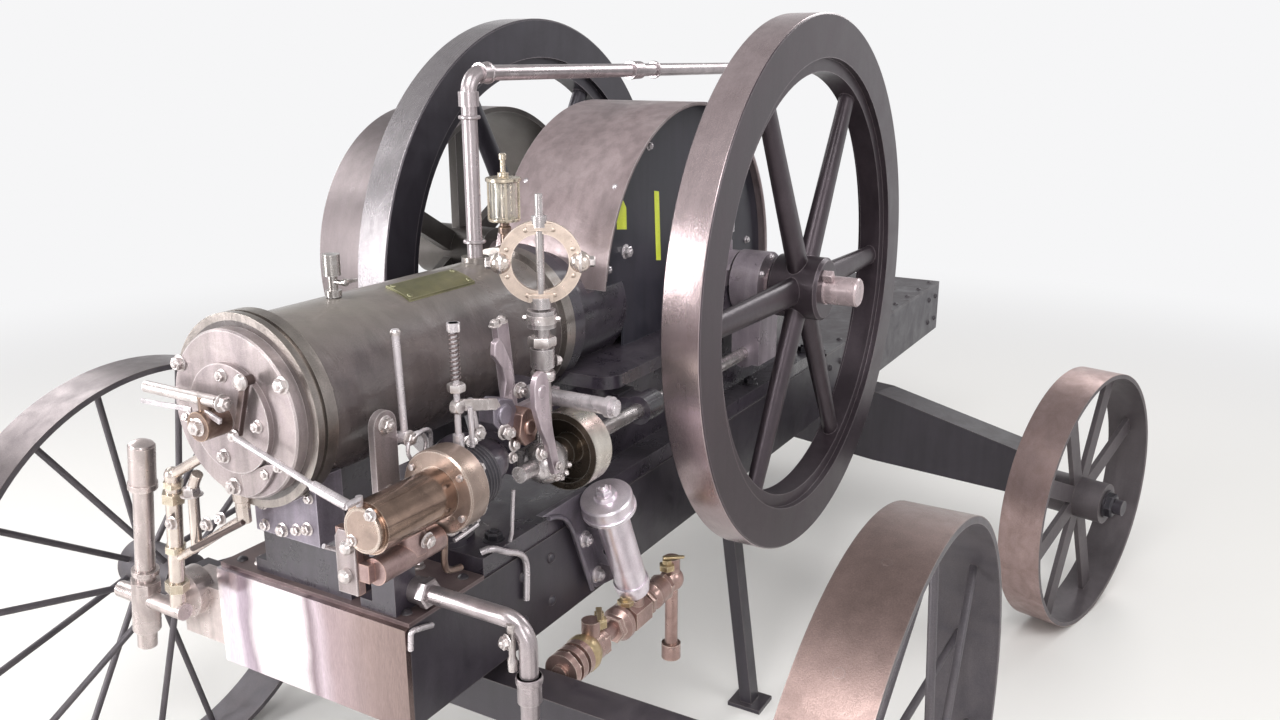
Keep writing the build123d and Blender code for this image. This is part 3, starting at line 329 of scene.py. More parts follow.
def land(node, start, way):
    """Where a line from start, in engine metres, first meets a CAD node."""
    hit, point, normal, face = frame["nodes"][node].ray_cast(at(*start), Vector(way).normalized())
    if not hit:
        raise ValueError(f"no surface of {node} on the way {way} from {start}")
    return point


def seat(node, start, way, turn=0.0):
    """The place where a line from start meets a CAD node, with its Z axis back along the line."""
    return facing(land(node, start, way), Vector() - Vector(way), turn)


def bolt(bm, place, thread, sides=6):
    """A washer, a nut with a chamfer, and the rounded end of the stud, for a thread in metres."""
    t = thread
    lathe(bm, place, [(0, 0), (1.15 * t, 0), (1.15 * t, 0.10 * t), (1.05 * t, 0.16 * t), (0, 0.16 * t)], 18)
    lathe(bm, place, [(0, 0.16 * t), (0.92 * t, 0.16 * t), (0.92 * t, 0.78 * t), (0.78 * t, 0.92 * t),
                      (0, 0.92 * t)], sides)
    lathe(bm, place, [(0, 0.9 * t), (0.46 * t, 0.9 * t), (0.46 * t, 1.1 * t), (0.32 * t, 1.2 * t),
                      (0, 1.22 * t)], 12)


def nuts(bm, rows):
    """Nuts on studs: in each row a place in engine metres, the way it points, and the thread."""
    for x, y, z, way, thread in rows:
        bolt(bm, facing(at(x, y, z), way), thread)


def rivet(bm, place, radius):
    """A low round rivet head."""
    lathe(bm, place, [(0, 0), (radius, 0), (0.92 * radius, 0.28 * radius), (0.6 * radius, 0.56 * radius),
                      (0.25 * radius, 0.68 * radius), (0, 0.7 * radius)], 14)


def keep(name, bm, skin, bevel=0.0, body="engine_frame"):
    """Makes the mesh an object with its finish, and fixes it to a body."""
    bmesh.ops.recalc_face_normals(bm, faces=bm.faces)
    mesh = bpy.data.meshes.new(name)
    bm.to_mesh(mesh)
    bm.free()
    mesh.shade_smooth()
    mesh.set_sharp_from_angle(angle=math.radians(32))
    mesh.materials.append(skin)
    piece = bpy.data.objects.new(name, mesh)
    bpy.context.scene.collection.objects.link(piece)
    if bevel:
        round_edges = piece.modifiers.new("round_edges", "BEVEL")
        round_edges.width = bevel
        round_edges.segments = 2
        round_edges.limit_method = "ANGLE"
    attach(piece, body)
    return piece


# Old oil paint on rolled steel: a dull blue black that shines a little where oil sits
blue_black = weathered("old_blue_black_paint", "#2D2930", "#38323A", "#7C7472", "#5C5551", 1.6, 90, metal=0.0,
                       rough=(0.28, 0.5), dust_and_lit_top=0.3, bump=0.25, cloud=0.3, wavy=0.15)
cover(blue_black, "side_rail_near", "side_rail_far", "sub_base_cross_members", "rear_deck_plate",
      "head_axle", "turn_plate", "steering_axle", "prop_leg_near")

# Rivets hold the cross members to the rails, and bolts the engine's foot, the decks and
# the turn plate.
cross_member_rivets = (-1.06, -0.96, 0.72, 0.82, 1.10, 1.24, 1.95, 2.05)
rail_rivet_heights = (-0.43, -0.53)
bm = bmesh.new()
for side, rail in ((-1, "side_rail_near"), (1, "side_rail_far")):
    for x in cross_member_rivets:
        for z in rail_rivet_heights:
            rivet(bm, seat(rail, (x, side * 0.6, z), (0, -side, 0)), 0.012)
keep("frame_rivets", bm, blue_black)
deck_rows, deck_start, deck_pitch = (-0.245, 0.185), 0.72, 0.165
bm = bmesh.new()
for y in deck_rows:
    for i in range(9):
        rivet(bm, seat("rear_deck_plate", (deck_start + deck_pitch * i, y, 0), DOWN), 0.011)
    for x in (-1.37, -1.21):
        rivet(bm, seat("front_deck_plate", (x, y, 0), DOWN), 0.011)
keep("deck_rivets", bm, blue_black)
king_pin_x, king_pin_y, turn_plate_z = 1.167, -0.106, -0.595
turn_plate_circle = 0.16
bm = bmesh.new()
for i in range(8):
    a = math.radians(22.5 + 45 * i)
    x, y = king_pin_x + turn_plate_circle * math.cos(a), king_pin_y + turn_plate_circle * math.sin(a)
    bolt(bm, facing(at(x, y, turn_plate_z), DOWN), 0.011)
keep("turn_plate_bolts", bm, blue_black)
bm = bmesh.new()
for x in (-1.125, -1.065):
    for y in (-0.166, -0.046):
        bolt(bm, seat("head_axle", (x, y, -0.2), DOWN), 0.016)
keep("axle_pad_bolts", bm, blue_black)

# ---------------------------------------------------------------- front plate
# A bare steel plate across the front of the frame, wiped until it shines, with a painted reflection of the
# floor and the dark parts around it laid on it in soft upright light and dark stripes. A hooked pin sticks out
# of its near corner.
# Rolled steel wiped with an oily rag: nearly a mirror, drawn out into upright streaks
bare_plate = weathered("steel_plate_painted_reflection", "#FAF4F6", "#EDE5E7", "#F0E8E8", "#8C8078", 1.4, 150, metal=0.9,
                       rough=(0.12, 0.26), rub=0.3, dust_and_lit_top=0.5, bump=0.03, oil=0.08, cloud=0.35, wavy=1.0,
                       stretch=(1.0, 1.0, 0.10), detail=0.6)
cover(bare_plate, "sub_base_front_plate")
# What the plate would mirror is painted on it as a painted reflection: upright light and dark bands from its
# near end to its far end, which sway a little.
tree = bare_plate.node_tree
sway, end_margin = 0.04, 0.02
wander = add(tree, "TexNoise", (), Vector=add(tree, "TexCoord").outputs["Object"], Scale=9.0, Detail=1.0)
across = add(tree, "SeparateXYZ", (), _0=add(tree, "TexCoord").outputs["Object"])
reflection_band_y = add(tree, "Math", TIMES_PLUS, _0=wander.outputs["Fac"], _1=sway, _2=across.outputs["Y"])
low_y, high_y = (pick(c[1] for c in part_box("sub_base_front_plate")) for pick in (min, max))
reflection_band_spread = add(tree, "MapRange", (), _0=reflection_band_y.outputs[0], _1=low_y + end_margin, _2=high_y + end_margin)
painted_reflection_bands = add(tree, "ValToRGB", (), Fac=reflection_band_spread.outputs[0])
for where, tone in ((0.0, "#8A7C77"), (0.18, "#9C8D89"), (0.38, "#AFA1A3"), (0.45, "#D0C6CD"),
                    (0.495, "#988C92"), (0.53, "#F3EFF2"), (0.79, "#F3EFF2"), (0.83, "#ABA1AB"),
                    (0.87, "#C0B5C2"), (0.90, "#EEE9F0"), (0.97, "#E2DCE4"), (1.0, "#8F8692")):
    stop = painted_reflection_bands.color_ramp.elements.new(where)
    stop.color = paint(tone)
for spare in (0, -1):
    painted_reflection_bands.color_ramp.elements.remove(painted_reflection_bands.color_ramp.elements[spare])
painted_reflection_tint = add(tree, "Mix", TINTED, _0=1.0,
            _6=tree.nodes["Principled BSDF"].inputs["Base Color"].links[0].from_socket, _7=painted_reflection_bands.outputs[0])
tree.links.new(painted_reflection_tint.outputs[2], tree.nodes["Principled BSDF"].inputs["Base Color"])
# Rolled plate, rust brown and trodden dull, with dust on it
deck_steel = weathered("rust_brown_deck_plate", "#5A4A4C", "#6E5C5C", "#9A8886", "#7A6C68", 1.8, 70, metal=0.3,
                       rough=(0.3, 0.5), dust_and_lit_top=0.4, bump=0.2, cloud=0.16)
cover(deck_steel, "front_deck_plate")
# Cold drawn rod: even, bright and thinly oiled
pin_steel = weathered("bright_drawn_steel", "#E0D9DC", "#C4BBBE", "#F0ECEE", "#8A8280", 1.0, 60, metal=0.6,
                      rough=(0.2, 0.34), rub=0.3, bump=0.06, oil=0.3, cloud=0.3)


def tube(name, points, radius, skin, smooth=True, body="engine_frame"):
    """A bent rod or pipe along points given in engine metres."""
    line = bpy.data.curves.new(name, "CURVE")
    line.dimensions = "3D"
    run = line.splines.new("NURBS" if smooth else "POLY")
    run.points.add(len(points) - 1)
    for point, place in zip(run.points, points):
        point.co = (*at(*place), 1.0)
    if smooth:
        run.order_u = 3
        run.use_endpoint_u = True
    line.bevel_depth = radius
    line.bevel_resolution = 4
    line.use_fill_caps = True
    line.materials.append(skin)
    piece = bpy.data.objects.new(name, line)
    bpy.context.scene.collection.objects.link(piece)
    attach(piece, body)
    return piece


tube("front_corner_hook", [(-1.402, -0.279, -0.420), (-1.402, -0.281, -0.400), (-1.402, -0.282, -0.384),
                           (-1.385, -0.282, -0.386), (-1.345, -0.281, -0.398)], 0.0055, pin_steel)

# ---------------------------------------------------------------- road wheels
# Riveted steel wheels. The treads are rubbed by the road, and the rims' inside, the spokes
# and the hubs are dark with old grease. A nut and a washer hold each on its spindle, which
# doesn't turn with the wheel.
axles = {}
for joint in frame["joints"]:
    if "wheel" in joint["child"]:
        axles[joint["child"]] = (Vector(joint["pos_m"]), Vector(joint["axis"]).normalized())
# Iron under old grease: near black, with a soft gloss
dark_iron = weathered("greasy_dark_iron", "#2B292F", "#3A373D", "#6A6468", "#4A4646", 2.0, 40, metal=0.4,
                      rough=(0.28, 0.5), bump=0.35, cloud=0.16)
hub_end, spindle = 0.095, 0.0255
for body, node, carrier, radius, spokes, rivet_rows, dark, rubbed, worn in (("steer_wheel_near",
        "steering_wheel_near", "steering", 0.424, 8, (-0.028, 0.028), "#5A5356", "#BAA3A0", "#8C7773"),
        ("steer_wheel_far", "steering_wheel_far", "steering", 0.424, 8, (-0.028, 0.028), "#5A5356", "#BAA3A0",
         "#8C7773"), ("road_wheel_near", "head_wheel_near", "engine_frame", 0.55, 16, (0.0,), "#4E4A50",
                      "#8C7873", "#7A6864"), ("road_wheel_far", "head_wheel_far", "engine_frame", 0.55, 16,
                                              (0.0,), "#4E4A50", "#807777", "#70686A")):
    centre, axis = axles[body]
    # Tyre steel: half bright and pinkish brown where it rolls, and grey inside
    skin = weathered("road_worn_steel_" + node, dark, "#655F62", "#8E8584", "#6A625C", 2.2, 70, metal=0.35,
                     rough=(0.4, 0.6), dust_and_lit_top=0.0, bump=0.4, oil=0.12, cloud=0.3, tread=(centre, axis, radius,
            rubbed, worn, (0.30, 0.46)), turned=0.12)
    cover(skin, node)
    # Spoke rivets, closed flush with the tread
    bm = bmesh.new()
    for i in range(spokes):
        arm = Matrix.Rotation(2 * math.pi * (i + 0.5) / spokes, 3, axis) @ Vector(UP)
        for shift in rivet_rows:
            spot = centre + arm * (radius - 0.0012) + axis * shift
            lathe(bm, facing(spot, arm), [(0, 0), (0.010, 0), (0.009, 0.0012), (0, 0.0014)], 14)
    keep(node + "_rivets", bm, skin, 0.0, body)
    outward = axis if centre.y > 0 else -axis
    bm = bmesh.new()
    end = facing(centre + outward * (hub_end + 0.002), outward)
    lathe(bm, end, band(spindle, 0.046, 0, 0.005), 28)
    lathe(bm, end, [(spindle, 0.005), (0.040, 0.005), (0.040, 0.022), (0.035, 0.027), (spindle, 0.027)], 6)
    keep(node + "_spindle_nut", bm, dark_iron, 0.0, carrier)

# ---------------------------------------------------------------- bed, bearings and cases
# Grey iron castings painted near black and soaked in oil. Studs and nuts hold the foot,
# the bearing caps and the round case of the spiral gears.
# Sand-cast iron, painted black and soaked in oil: a wet gloss over a lumpy skin
oiled_casting = weathered("oily_black_casting", "#302B33", "#423B45", "#6F676B", "#454040", 3.0, 60, metal=0.0,
                          rough=(0.2, 0.42), rub=0.4, dust_and_lit_top=0.3, bump=0.4, cloud=0.16, wavy=0.3, coat=0.3)
cover(oiled_casting, "engine_bed", "side_shaft_bearing", "mixer_elbow", "mixer_post", "cylinder_pedestal")
# Iron castings whose paint hands have rubbed thin: a mauve grey, half matt
case_iron = weathered("rubbed_mauve_casting", "#9C9099", "#ADA1AA", "#C4B9C1", "#7C7377", 2.4, 50, metal=0.45,
                      dust_and_lit_top=0.2, bump=0.3, oil=0.25)
cover(case_iron, "bearing_cap_near", "bearing_cap_far", "spiral_gear_case")
foot_near_y, foot_far_y = -0.236, 0.180
bearing_caps = ((-0.215, "bearing_cap_near"), (0.215, "bearing_cap_far"))
bm = bmesh.new()
for x, y in ((-1.10, foot_near_y), (-0.76, foot_near_y), (-0.20, foot_near_y), (0.14, foot_near_y),
             (0.56, foot_near_y), (-1.10, foot_far_y), (-0.76, foot_far_y)):
    bolt(bm, seat("engine_bed", (x, y, -0.3), DOWN), 0.020)
for y, cap in bearing_caps:
    for x in (-0.1, 0.1):
        bolt(bm, seat(cap, (x, y, 0.2), DOWN), 0.016)
keep("bed_and_cap_nuts", bm, dark_iron)
gear_case_face, gear_case_circle = -0.348, 0.072
bm = bmesh.new()
for i in range(6):
    a = math.radians(30 + 60 * i)
    bolt(bm, facing(at(gear_case_circle * math.cos(a), gear_case_face, gear_case_circle * math.sin(a)), NEAR),
         0.009)
keep("gear_case_bolts", bm, pin_steel)

# A screw-down grease cup stands on each bearing cap
bm = bmesh.new()
for y, cap in bearing_caps:
    lathe(bm, seat(cap, (0.0, y, 0.3), DOWN), [(0, -0.002), (0.014, -0.002), (0.014, 0.008), (0.009, 0.011),
                                               (0.009, 0.020), (0.021, 0.024), (0.021, 0.046), (0.019, 0.049),
                                               (0.007, 0.050), (0.006, 0.062), (0, 0.063)], 28)
keep("bearing_grease_cups", bm, pin_steel)

# ---------------------------------------------------------------- crank hood
# A rolled sheet over the crank, bare and stained, with a rolled wire in both edges and
# four round screws. Dark side plates stand inside it, with two strips of yellow tape.
# Rolled sheet without paint: pinkish grey, stained in soft clouds, and half bright
hood_sheet = weathered("bare_rolled_sheet", "#AE9E9F", "#8F7F80", "#D8CFCF", "#9A9090", 1.6, 160, metal=0.5,
                       rough=(0.28, 0.44), rub=0.7, dust_and_lit_top=0.2, bump=0.08, oil=0.22, cloud=0.2, wavy=0.35,
                       edge_mm=3)
cover(hood_sheet, "crank_hood")
# Smooth blue-black paint on flat plate
guard_paint = weathered("blue_black_guard_paint", "#2A2A33", "#3A3740", "#5C5F66", "#33353B", 1.6, 110,
                        metal=0.0, rough=(0.3, 0.46), rub=0.4, bump=0.25, cloud=0.16)
cover(guard_paint, "hood_side_near", "hood_side_far")
hood_x, hood_wire_y, hood_wire_radius, guard_y = -0.08, 0.1605, 0.4745, 0.138
bm = bmesh.new()
for x, y in ((-0.466, 0.126), (-0.466, -0.135), (0.10, 0.135), (0.10, -0.135)):
    spot = land("crank_hood", (hood_x, y, 0.02), (x - hood_x, 0, 0.28))
    way = (spot - at(hood_x, y, 0)).normalized()
    rivet(bm, facing(spot + way * 0.0035, way), 0.0075)
keep("hood_screws", bm, pin_steel)
for side, label in ((-1, "near"), (1, "far")):
    arc = [math.radians(degrees) for degrees in range(-12, 171, 2)]
    tube("hood_wire_" + label, [(hood_x + hood_wire_radius * math.cos(a), side * hood_wire_y,
                                 hood_wire_radius * math.sin(a)) for a in arc], 0.0045, hood_sheet)


def slab(bm, place, outline, thickness):
    """A flat plate: an outline in the XY plane of place, made thick along its Z axis."""
    low = [bm.verts.new(place @ Vector((x, y, 0))) for x, y in outline]
    high = [bm.verts.new(place @ Vector((x, y, thickness))) for x, y in outline]
    bm.faces.new(low[::-1])
    bm.faces.new(high)
    for i in range(len(outline)):
        j = (i + 1) % len(outline)
        bm.faces.new((low[i], low[j], high[j], high[i]))


# Adhesive cloth tape, bright greenish yellow and matt
tape = weathered("yellow_marking_tape", "#DDE83A", "#E6F05A", "#EEF49A", "#A8AC5A", 1.2, 40, metal=0.0,
                 rough=(0.35, 0.5), rub=0.2, dust_and_lit_top=0.05, oil=0.1, cloud=0.16)
bm = bmesh.new()
flat_near = Matrix.Translation(at(0, -guard_y, 0)) @ Matrix.Rotation(math.radians(90), 4, "X")
slab(bm, flat_near, [(-0.260, 0.086), (-0.236, 0.082), (-0.248, 0.262), (-0.272, 0.266)], 0.0008)
slab(bm, flat_near, [(-0.456, 0.192), (-0.410, 0.186), (-0.412, 0.240), (-0.426, 0.258), (-0.456, 0.262)],
     0.0008)
keep("hood_side_tape", bm, tape)
bm = bmesh.new()
bolt(bm, facing(at(-0.415, -guard_y, 0.132), NEAR), 0.016)
for x, z in ((-0.50, 0.10), (0.30, 0.06), (0.10, 0.40), (-0.30, 0.38)):
    bolt(bm, facing(at(x, -guard_y, z), NEAR), 0.010)
    bolt(bm, facing(at(x, guard_y, z), FAR), 0.010)
keep("hood_side_nuts", bm, pin_steel)

# ---------------------------------------------------------------- flywheels and crankshaft
# Cast iron flywheels: the treads are turned and polished by hands and rags, and the rest
# is dark. Each is held by a gib-head key, and the shaft's ends are bright turned steel.
flywheel_radius, hub_face = 0.70, 0.5105
for label, dark, patch, bare, worn, polish in (("near", "#393136", "#4A4046", "#DCCACB", "#A89698", (0.2, 0.3)),
                                               ("far", "#343036", "#434047", "#C4BEC0", "#989296",
                                                (0.2, 0.32))):
    # Cast iron: dark and even on the sides, with pinkish rubbed edges that also paint highlights along the rim,
    # and a bright turned band with fine lines round it
    flywheel_iron = weathered("flywheel_cast_iron_" + label, dark, patch, "#A79CA0", "#6A6264", 2.6, 120,
                              metal=0.5, rough=(0.28, 0.42), rub=0.6, dust_and_lit_top=0.0, bump=0.25, oil=0.1,
                              tread=(crank, Vector(FAR), flywheel_radius, bare, worn, polish), turned=0.4)
    cover(flywheel_iron, "flywheel_" + label)
# Turned steel under thin oil: smooth and pale, a little brown
shaft_steel = weathered("turned_shaft_steel", "#D2BFC1", "#B09EA0", "#E8DEE0", "#8F8684", 1.4, 60, metal=0.45,
                        rough=(0.2, 0.34), rub=0.4, dust_and_lit_top=0.0, bump=0.08, oil=0.25, cloud=0.3)
cover(shaft_steel, "crankshaft")
for side, label in ((-1, "near"), (1, "far")):
    bm = bmesh.new()
    # The key's head stands out of the hub against the shaft, bevelled for the drift
    key = facing(at(0, side * hub_face, 0), (0, side, 0), math.radians(35))
    slab(bm, key, [(-0.011, 0.0385), (0.011, 0.0385), (0.011, 0.062), (-0.011, 0.062)], 0.028)
    keep("flywheel_key_" + label, bm, shaft_steel, 0.002, "crank")

# ---------------------------------------------------------------- belt pulley
# A flat-faced iron pulley on the far end of the shaft: the belt keeps its face grey and
# bright, and the inside is dark.
pulley_radius = 0.45
# Cast iron that a belt has polished to a soft grey shine
pulley_iron = weathered("belt_polished_iron", "#57534F", "#66605E", "#B5AEAE", "#6A6260", 2.0, 110, metal=0.5,
                        rough=(0.3, 0.46), dust_and_lit_top=0.0, bump=0.2, oil=0.1, tread=(crank, Vector(FAR),
        pulley_radius, "#9A9091", "#857B7C", (0.3, 0.42)), turned=0.15)
cover(pulley_iron, "belt_pulley")
bm = bmesh.new()
for i in range(6):
    a = math.radians(60 * i + 30)
    out_way = Vector((math.cos(a), 0, math.sin(a)))
    for y in (0.64, 0.79):
        lathe(bm, facing(at(0, y, 0) + out_way * (pulley_radius - 0.001), out_way), [(0, 0), (0.009, 0),
                (0.008, 0.0012), (0, 0.0014)], 12)
keep("belt_pulley_rivets", bm, pulley_iron, 0.0, "crank")

# ---------------------------------------------------------------- cylinder jacket and head
# A cast jacket in worn dark paint, wet with oil, and a bare machined head that is bolted
# on. The head carries a raised valve disc, a plate low on its face, and bright nuts.
jacket_rim, flange_circle, flange_nut_x = 0.1635, 0.166, -1.40
# Sand-cast iron in thin olive-black paint, wet with oil, with a machined rim at each end. The pale dust laid
# thick on its top faces also paints the light on its lit top.
jacket_paint = weathered("oily_dark_olive_casting", "#665D5A", "#483F42", "#A79F96", "#8E897E", 2.6, 140,
                         metal=0.0, rough=(0.2, 0.36), dust_and_lit_top=0.6, bump=0.22, oil=0.25, cloud=0.3, wavy=0.3,
                         coat=0.35, tread=(crank, Vector(REAR), jacket_rim, "#A89F99", "#7D7572", (0.26, 0.4)),
                         turned=0.1)
cover(jacket_paint, "cylinder_jacket")
# Machined cast iron that heat has stained: pale pinkish grey, and satin
head_iron = weathered("bare_machined_head", "#AEA2A0", "#93878A", "#E6DEDD", "#857B76", 1.8, 70, metal=0.6,
                      rough=(0.34, 0.5), rub=0.6, dust_and_lit_top=0.15, bump=0.15, oil=0.3, wavy=0.2)
cover(head_iron, "cylinder_head", "valve_chest", "upright_bracket")
# Cast iron with a bluish bloom from heat, half bright
box_iron = weathered("lavender_grey_iron", "#938B96", "#7A727D", "#C9C3CC", "#6E686A", 2.0, 60, metal=0.6,
                     rough=(0.3, 0.46), dust_and_lit_top=0.2, bump=0.25, oil=0.3)
cover(box_iron, "valve_box")
# Steel nuts that spanners have rubbed bright, with dark corners
nut_steel = weathered("rubbed_nut_steel", "#DCD4D3", "#B8AEAB", "#F2ECEC", "#8A8280", 1.0, 22,
                      rough=(0.22, 0.4), oil=0.2, cloud=0.16)
chest_z, chest_radius, head_face_x = -0.003, 0.092, -1.5
bm = bmesh.new()
for y, z, size in ((0.127, 0.076, 0.0135), (-0.127, 0.074, 0.0135), (0.017, -0.134, 0.0140),
                   (0.004, 0.074, 0.0105), (-0.072, -0.004, 0.0105), (0.020, -0.074, 0.0115),
        (-0.072, -0.092, 0.0115), (-0.100, -0.076, 0.0085)):
    node = "valve_chest" if math.hypot(y, z - chest_z) < chest_radius else "cylinder_head"
    bolt(bm, seat(node, (-1.7, y, z), REAR, y * 9), size)
keep("head_nuts", bm, nut_steel)
# The plate low on the head, with a curved lower edge. face turns a flat outline of
# (y, z) to the head end.
bm = bmesh.new()
arc = [(0.112 * math.cos(math.radians(a)), 0.148 * math.sin(math.radians(a))) for a in range(208, 263, 6)]
face = Matrix(((0, 0, -1, 0), (1, 0, 0, 0), (0, 1, 0, 0), (0, 0, 0, 1)))
slab(bm, Matrix.Translation(at(head_face_x, 0, 0)) @ face, arc + [(-0.010, -0.104), (-0.075, -0.074)], 0.007)
keep("head_low_plate", bm, head_iron, 0.0015)
# Studs round both jacket flanges
bm = bmesh.new()
for i in range(10):
    a = math.radians(36 * i + 18)
    y, z = flange_circle * math.cos(a), flange_circle * math.sin(a)
    if z > -0.12:
        bolt(bm, seat("cylinder_jacket", (flange_nut_x, y, z), HEAD), 0.007)
keep("jacket_flange_nuts", bm, jacket_paint)

# The curved cover on top of the jacket is bronze tarnished to olive, held by four screws.
cover_bronze = weathered("tarnished_cover_plate", "#6F6C52", "#85825E", "#B9B79A", "#6E6A5A", 1.4, 40,
                         metal=0.7, rough=(0.28, 0.42), rub=0.6, dust_and_lit_top=0.15)
cover(cover_bronze, "cylinder_top_cover")
bm = bmesh.new()
for x in (-1.125, -0.945):
    for y in (-0.074, -0.032):
        spot = land("cylinder_top_cover", (x, y, 0.3), DOWN)
        lathe(bm, facing(spot, (0, y * 2, 0.3)), [(0, -0.001), (0.006, 0), (0.005, 0.002), (0, 0.003)], 12)
keep("cover_screws", bm, cover_bronze)

# ---------------------------------------------------------------- priming cup and oiler
# A nickel-plated priming cup with a lever cock, and a drip oiler on a brown stem: a glass
# between brass plates that four thin pillars hold, with a bright sight tube inside.
# Nickel plate on brass: nearly a mirror where it isn't worn
nickel = weathered("worn_nickel_plate", "#B9B4B2", "#8F8883", "#DEDAD8", "#8A8280", 1.0, 24, metal=0.95,
                   rough=(0.16, 0.34), bump=0.08)
cover(nickel, "priming_cup")
cock_x, cock_z = -1.252, 0.192
bm = bmesh.new()
lathe(bm, facing(at(cock_x, -0.030, cock_z), NEAR), [(0, 0), (0.007, 0), (0.007, 0.008), (0, 0.009)], 14)
slab(bm, facing(at(cock_x, -0.033, cock_z), NEAR), [(-0.004, -0.004), (0.030, -0.003), (0.032, 0.003),
                                                    (-0.004, 0.005)], 0.003)
keep("priming_cup_handle", bm, nickel, 0.0008)
# Brass scoured so often that it is pale, with brown in the corners
oiler_brass = weathered("pale_worn_brass", "#DCD0BE", "#B9AB98", "#F2EADC", "#8A7B66", 1.0, 26,
                        rough=(0.16, 0.34))
oiler = facing(at(-0.718, 0.0, 0.0), UP)
pillar_circle = 0.0345
# Base plate, top plate with its rolled rim, the needle's guide and its knob
bm = bmesh.new()
lathe(bm, oiler, [(0, 0.232), (0.012, 0.232), (0.014, 0.234), (0.036, 0.236), (0.037, 0.238), (0.037, 0.242),
                  (0, 0.242)], 36)
lathe(bm, oiler, [(0, 0.324), (0.038, 0.324), (0.0405, 0.326), (0.0405, 0.332), (0.038, 0.334), (0.016, 0.335),
                  (0.013, 0.337), (0.013, 0.344), (0.006, 0.346), (0.006, 0.372), (0.0085, 0.374),
                  (0.0085, 0.384), (0.006, 0.387), (0, 0.387)], 36)
for i in range(4):
    a = math.radians(45 + 90 * i)
    lathe(bm, oiler @ Matrix.Translation((pillar_circle * math.cos(a), pillar_circle * math.sin(a), 0)),
          band(0, 0.0028, 0.240, 0.326), 10)
oiler_frame = keep("drip_oiler_frame", bm, oiler_brass)
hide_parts("drip_oiler_brass")
# Bronze browned by heat and oil, with coppery edges
brown_bronze = weathered("brown_bronze", "#8F7C72", "#6C5850", "#D4B8A0", "#6C5A50", 1.2, 24, rub=0.6,
                         bump=0.15, cloud=0.16)
bm = bmesh.new()
lathe(bm, oiler, [(0, 0.158), (0.016, 0.158), (0.017, 0.162), (0.017, 0.178), (0.011, 0.181), (0.010, 0.206),
                  (0.015, 0.209), (0.015, 0.222), (0.011, 0.225), (0.011, 0.233), (0, 0.233)], 20)
keep("drip_oiler_stem", bm, brown_bronze)
bm = bmesh.new()
lathe(bm, oiler, [(0, 0.2415), (0.0085, 0.2415), (0.0085, 0.318), (0.004, 0.3245), (0, 0.3245)], 20)
keep("drip_oiler_sight_tube", bm, nut_steel)
# Soda glass, clear and a little yellow with oil
glass = weathered("oiler_glass", "#F6F3EC", "#F0ECE2", "#F6F2EA", "#E0DACC", 3.0, 40, metal=0.0,
                  rough=(0.05, 0.12), rub=0.1, dust_and_lit_top=0.0, bump=0.02, oil=0.0, cloud=0.16, wavy=0.0)
glass.node_tree.nodes["Principled BSDF"].inputs["Transmission Weight"].default_value = 0.9
bm = bmesh.new()
lathe(bm, oiler, band(0.0285, 0.0310, 0.2415, 0.3245), 40)
oiler_glass = keep("drip_oiler_cylinder", bm, glass)
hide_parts("drip_oiler_glass")

# ---------------------------------------------------------------- water pipe
# Dull galvanised pipe in screwed lengths. The elbow and the sockets have beads, and the
# threads show as short rings where a pipe enters them.
# Galvanised steel gone dull: pale grey with darker spangles
zinc_pipe = weathered("dull_zinc_pipe", "#BEB4B6", "#9E9496", "#DED6D8", "#8F8888", 1.6, 60, metal=0.8,
                      rough=(0.24, 0.38), rub=0.4, dust_and_lit_top=0.15, bump=0.15, oil=0.2, cloud=0.3)
cover(zinc_pipe, "water_riser_pipe")
pipe_bore, riser_x, level_z = 0.0170, -0.828, 0.560
bm = bmesh.new()
for x, z, way, radius in ((riser_x, 0.470, UP, 0.0195), (riser_x, 0.205, UP, 0.0205), (-0.762, level_z, REAR,
        0.0195), (-0.145, level_z, REAR, 0.0195), (-0.030, level_z, REAR, 0.0195)):
    lathe(bm, facing(at(x, 0, z), way),
          [(pipe_bore, -0.004), (radius + 0.002, -0.004), (radius + 0.004, -0.002), (radius + 0.004, 0.002),
           (radius + 0.002, 0.004), (pipe_bore, 0.004)], 28)
keep("water_pipe_beads", bm, zinc_pipe)

# ---------------------------------------------------------------- governor
# A steel column on the side shaft, with a collar and gland nuts, carries two bowed spring
# leaves of brass that clamp a steel ball each. Screws go through leaves and balls.
# Turned steel in a film of oil: pale, with brown run into it
column_steel = weathered("oily_governor_steel", "#CFC8C9", "#A29A98", "#EAE4E6", "#7E7674", 1.2, 40, metal=0.75,
                         rough=(0.18, 0.36), bump=0.12, oil=0.3)
cover(column_steel, "governor_housing", "side_shaft", "governor_spindle")
# Spring brass, hand-rubbed and gone dull pink
spring_brass = weathered("dull_spring_brass", "#CBB9AC", "#A6968C", "#E8DACE", "#857A6E", 1.2, 30, metal=0.8,
                         rough=(0.26, 0.42), bump=0.12)
cover(spring_brass, "governor_arms")
# Polished steel and plating that has taken a cream tone
ball_steel = weathered("pale_ball_steel", "#E4D8D0", "#C8BAB2", "#F4ECE6", "#8F8678", 1.0, 26,
                       rough=(0.16, 0.3), rub=0.4, bump=0.06, cloud=0.3)
cover(ball_steel, "governor_balls")
governor_x, governor_y, leaves_z = -1.006, -0.300, 0.215
leaf_radius, leaf_half_width, ball_reach = 0.068, 0.006, 0.076
ring_place = Matrix.Translation(at(governor_x, governor_y, leaves_z)) @ Matrix.Rotation(math.radians(-55), 4,
        "Z")
ring_face = ring_place @ Matrix.Rotation(math.radians(90), 4, "X")
bm = bmesh.new()
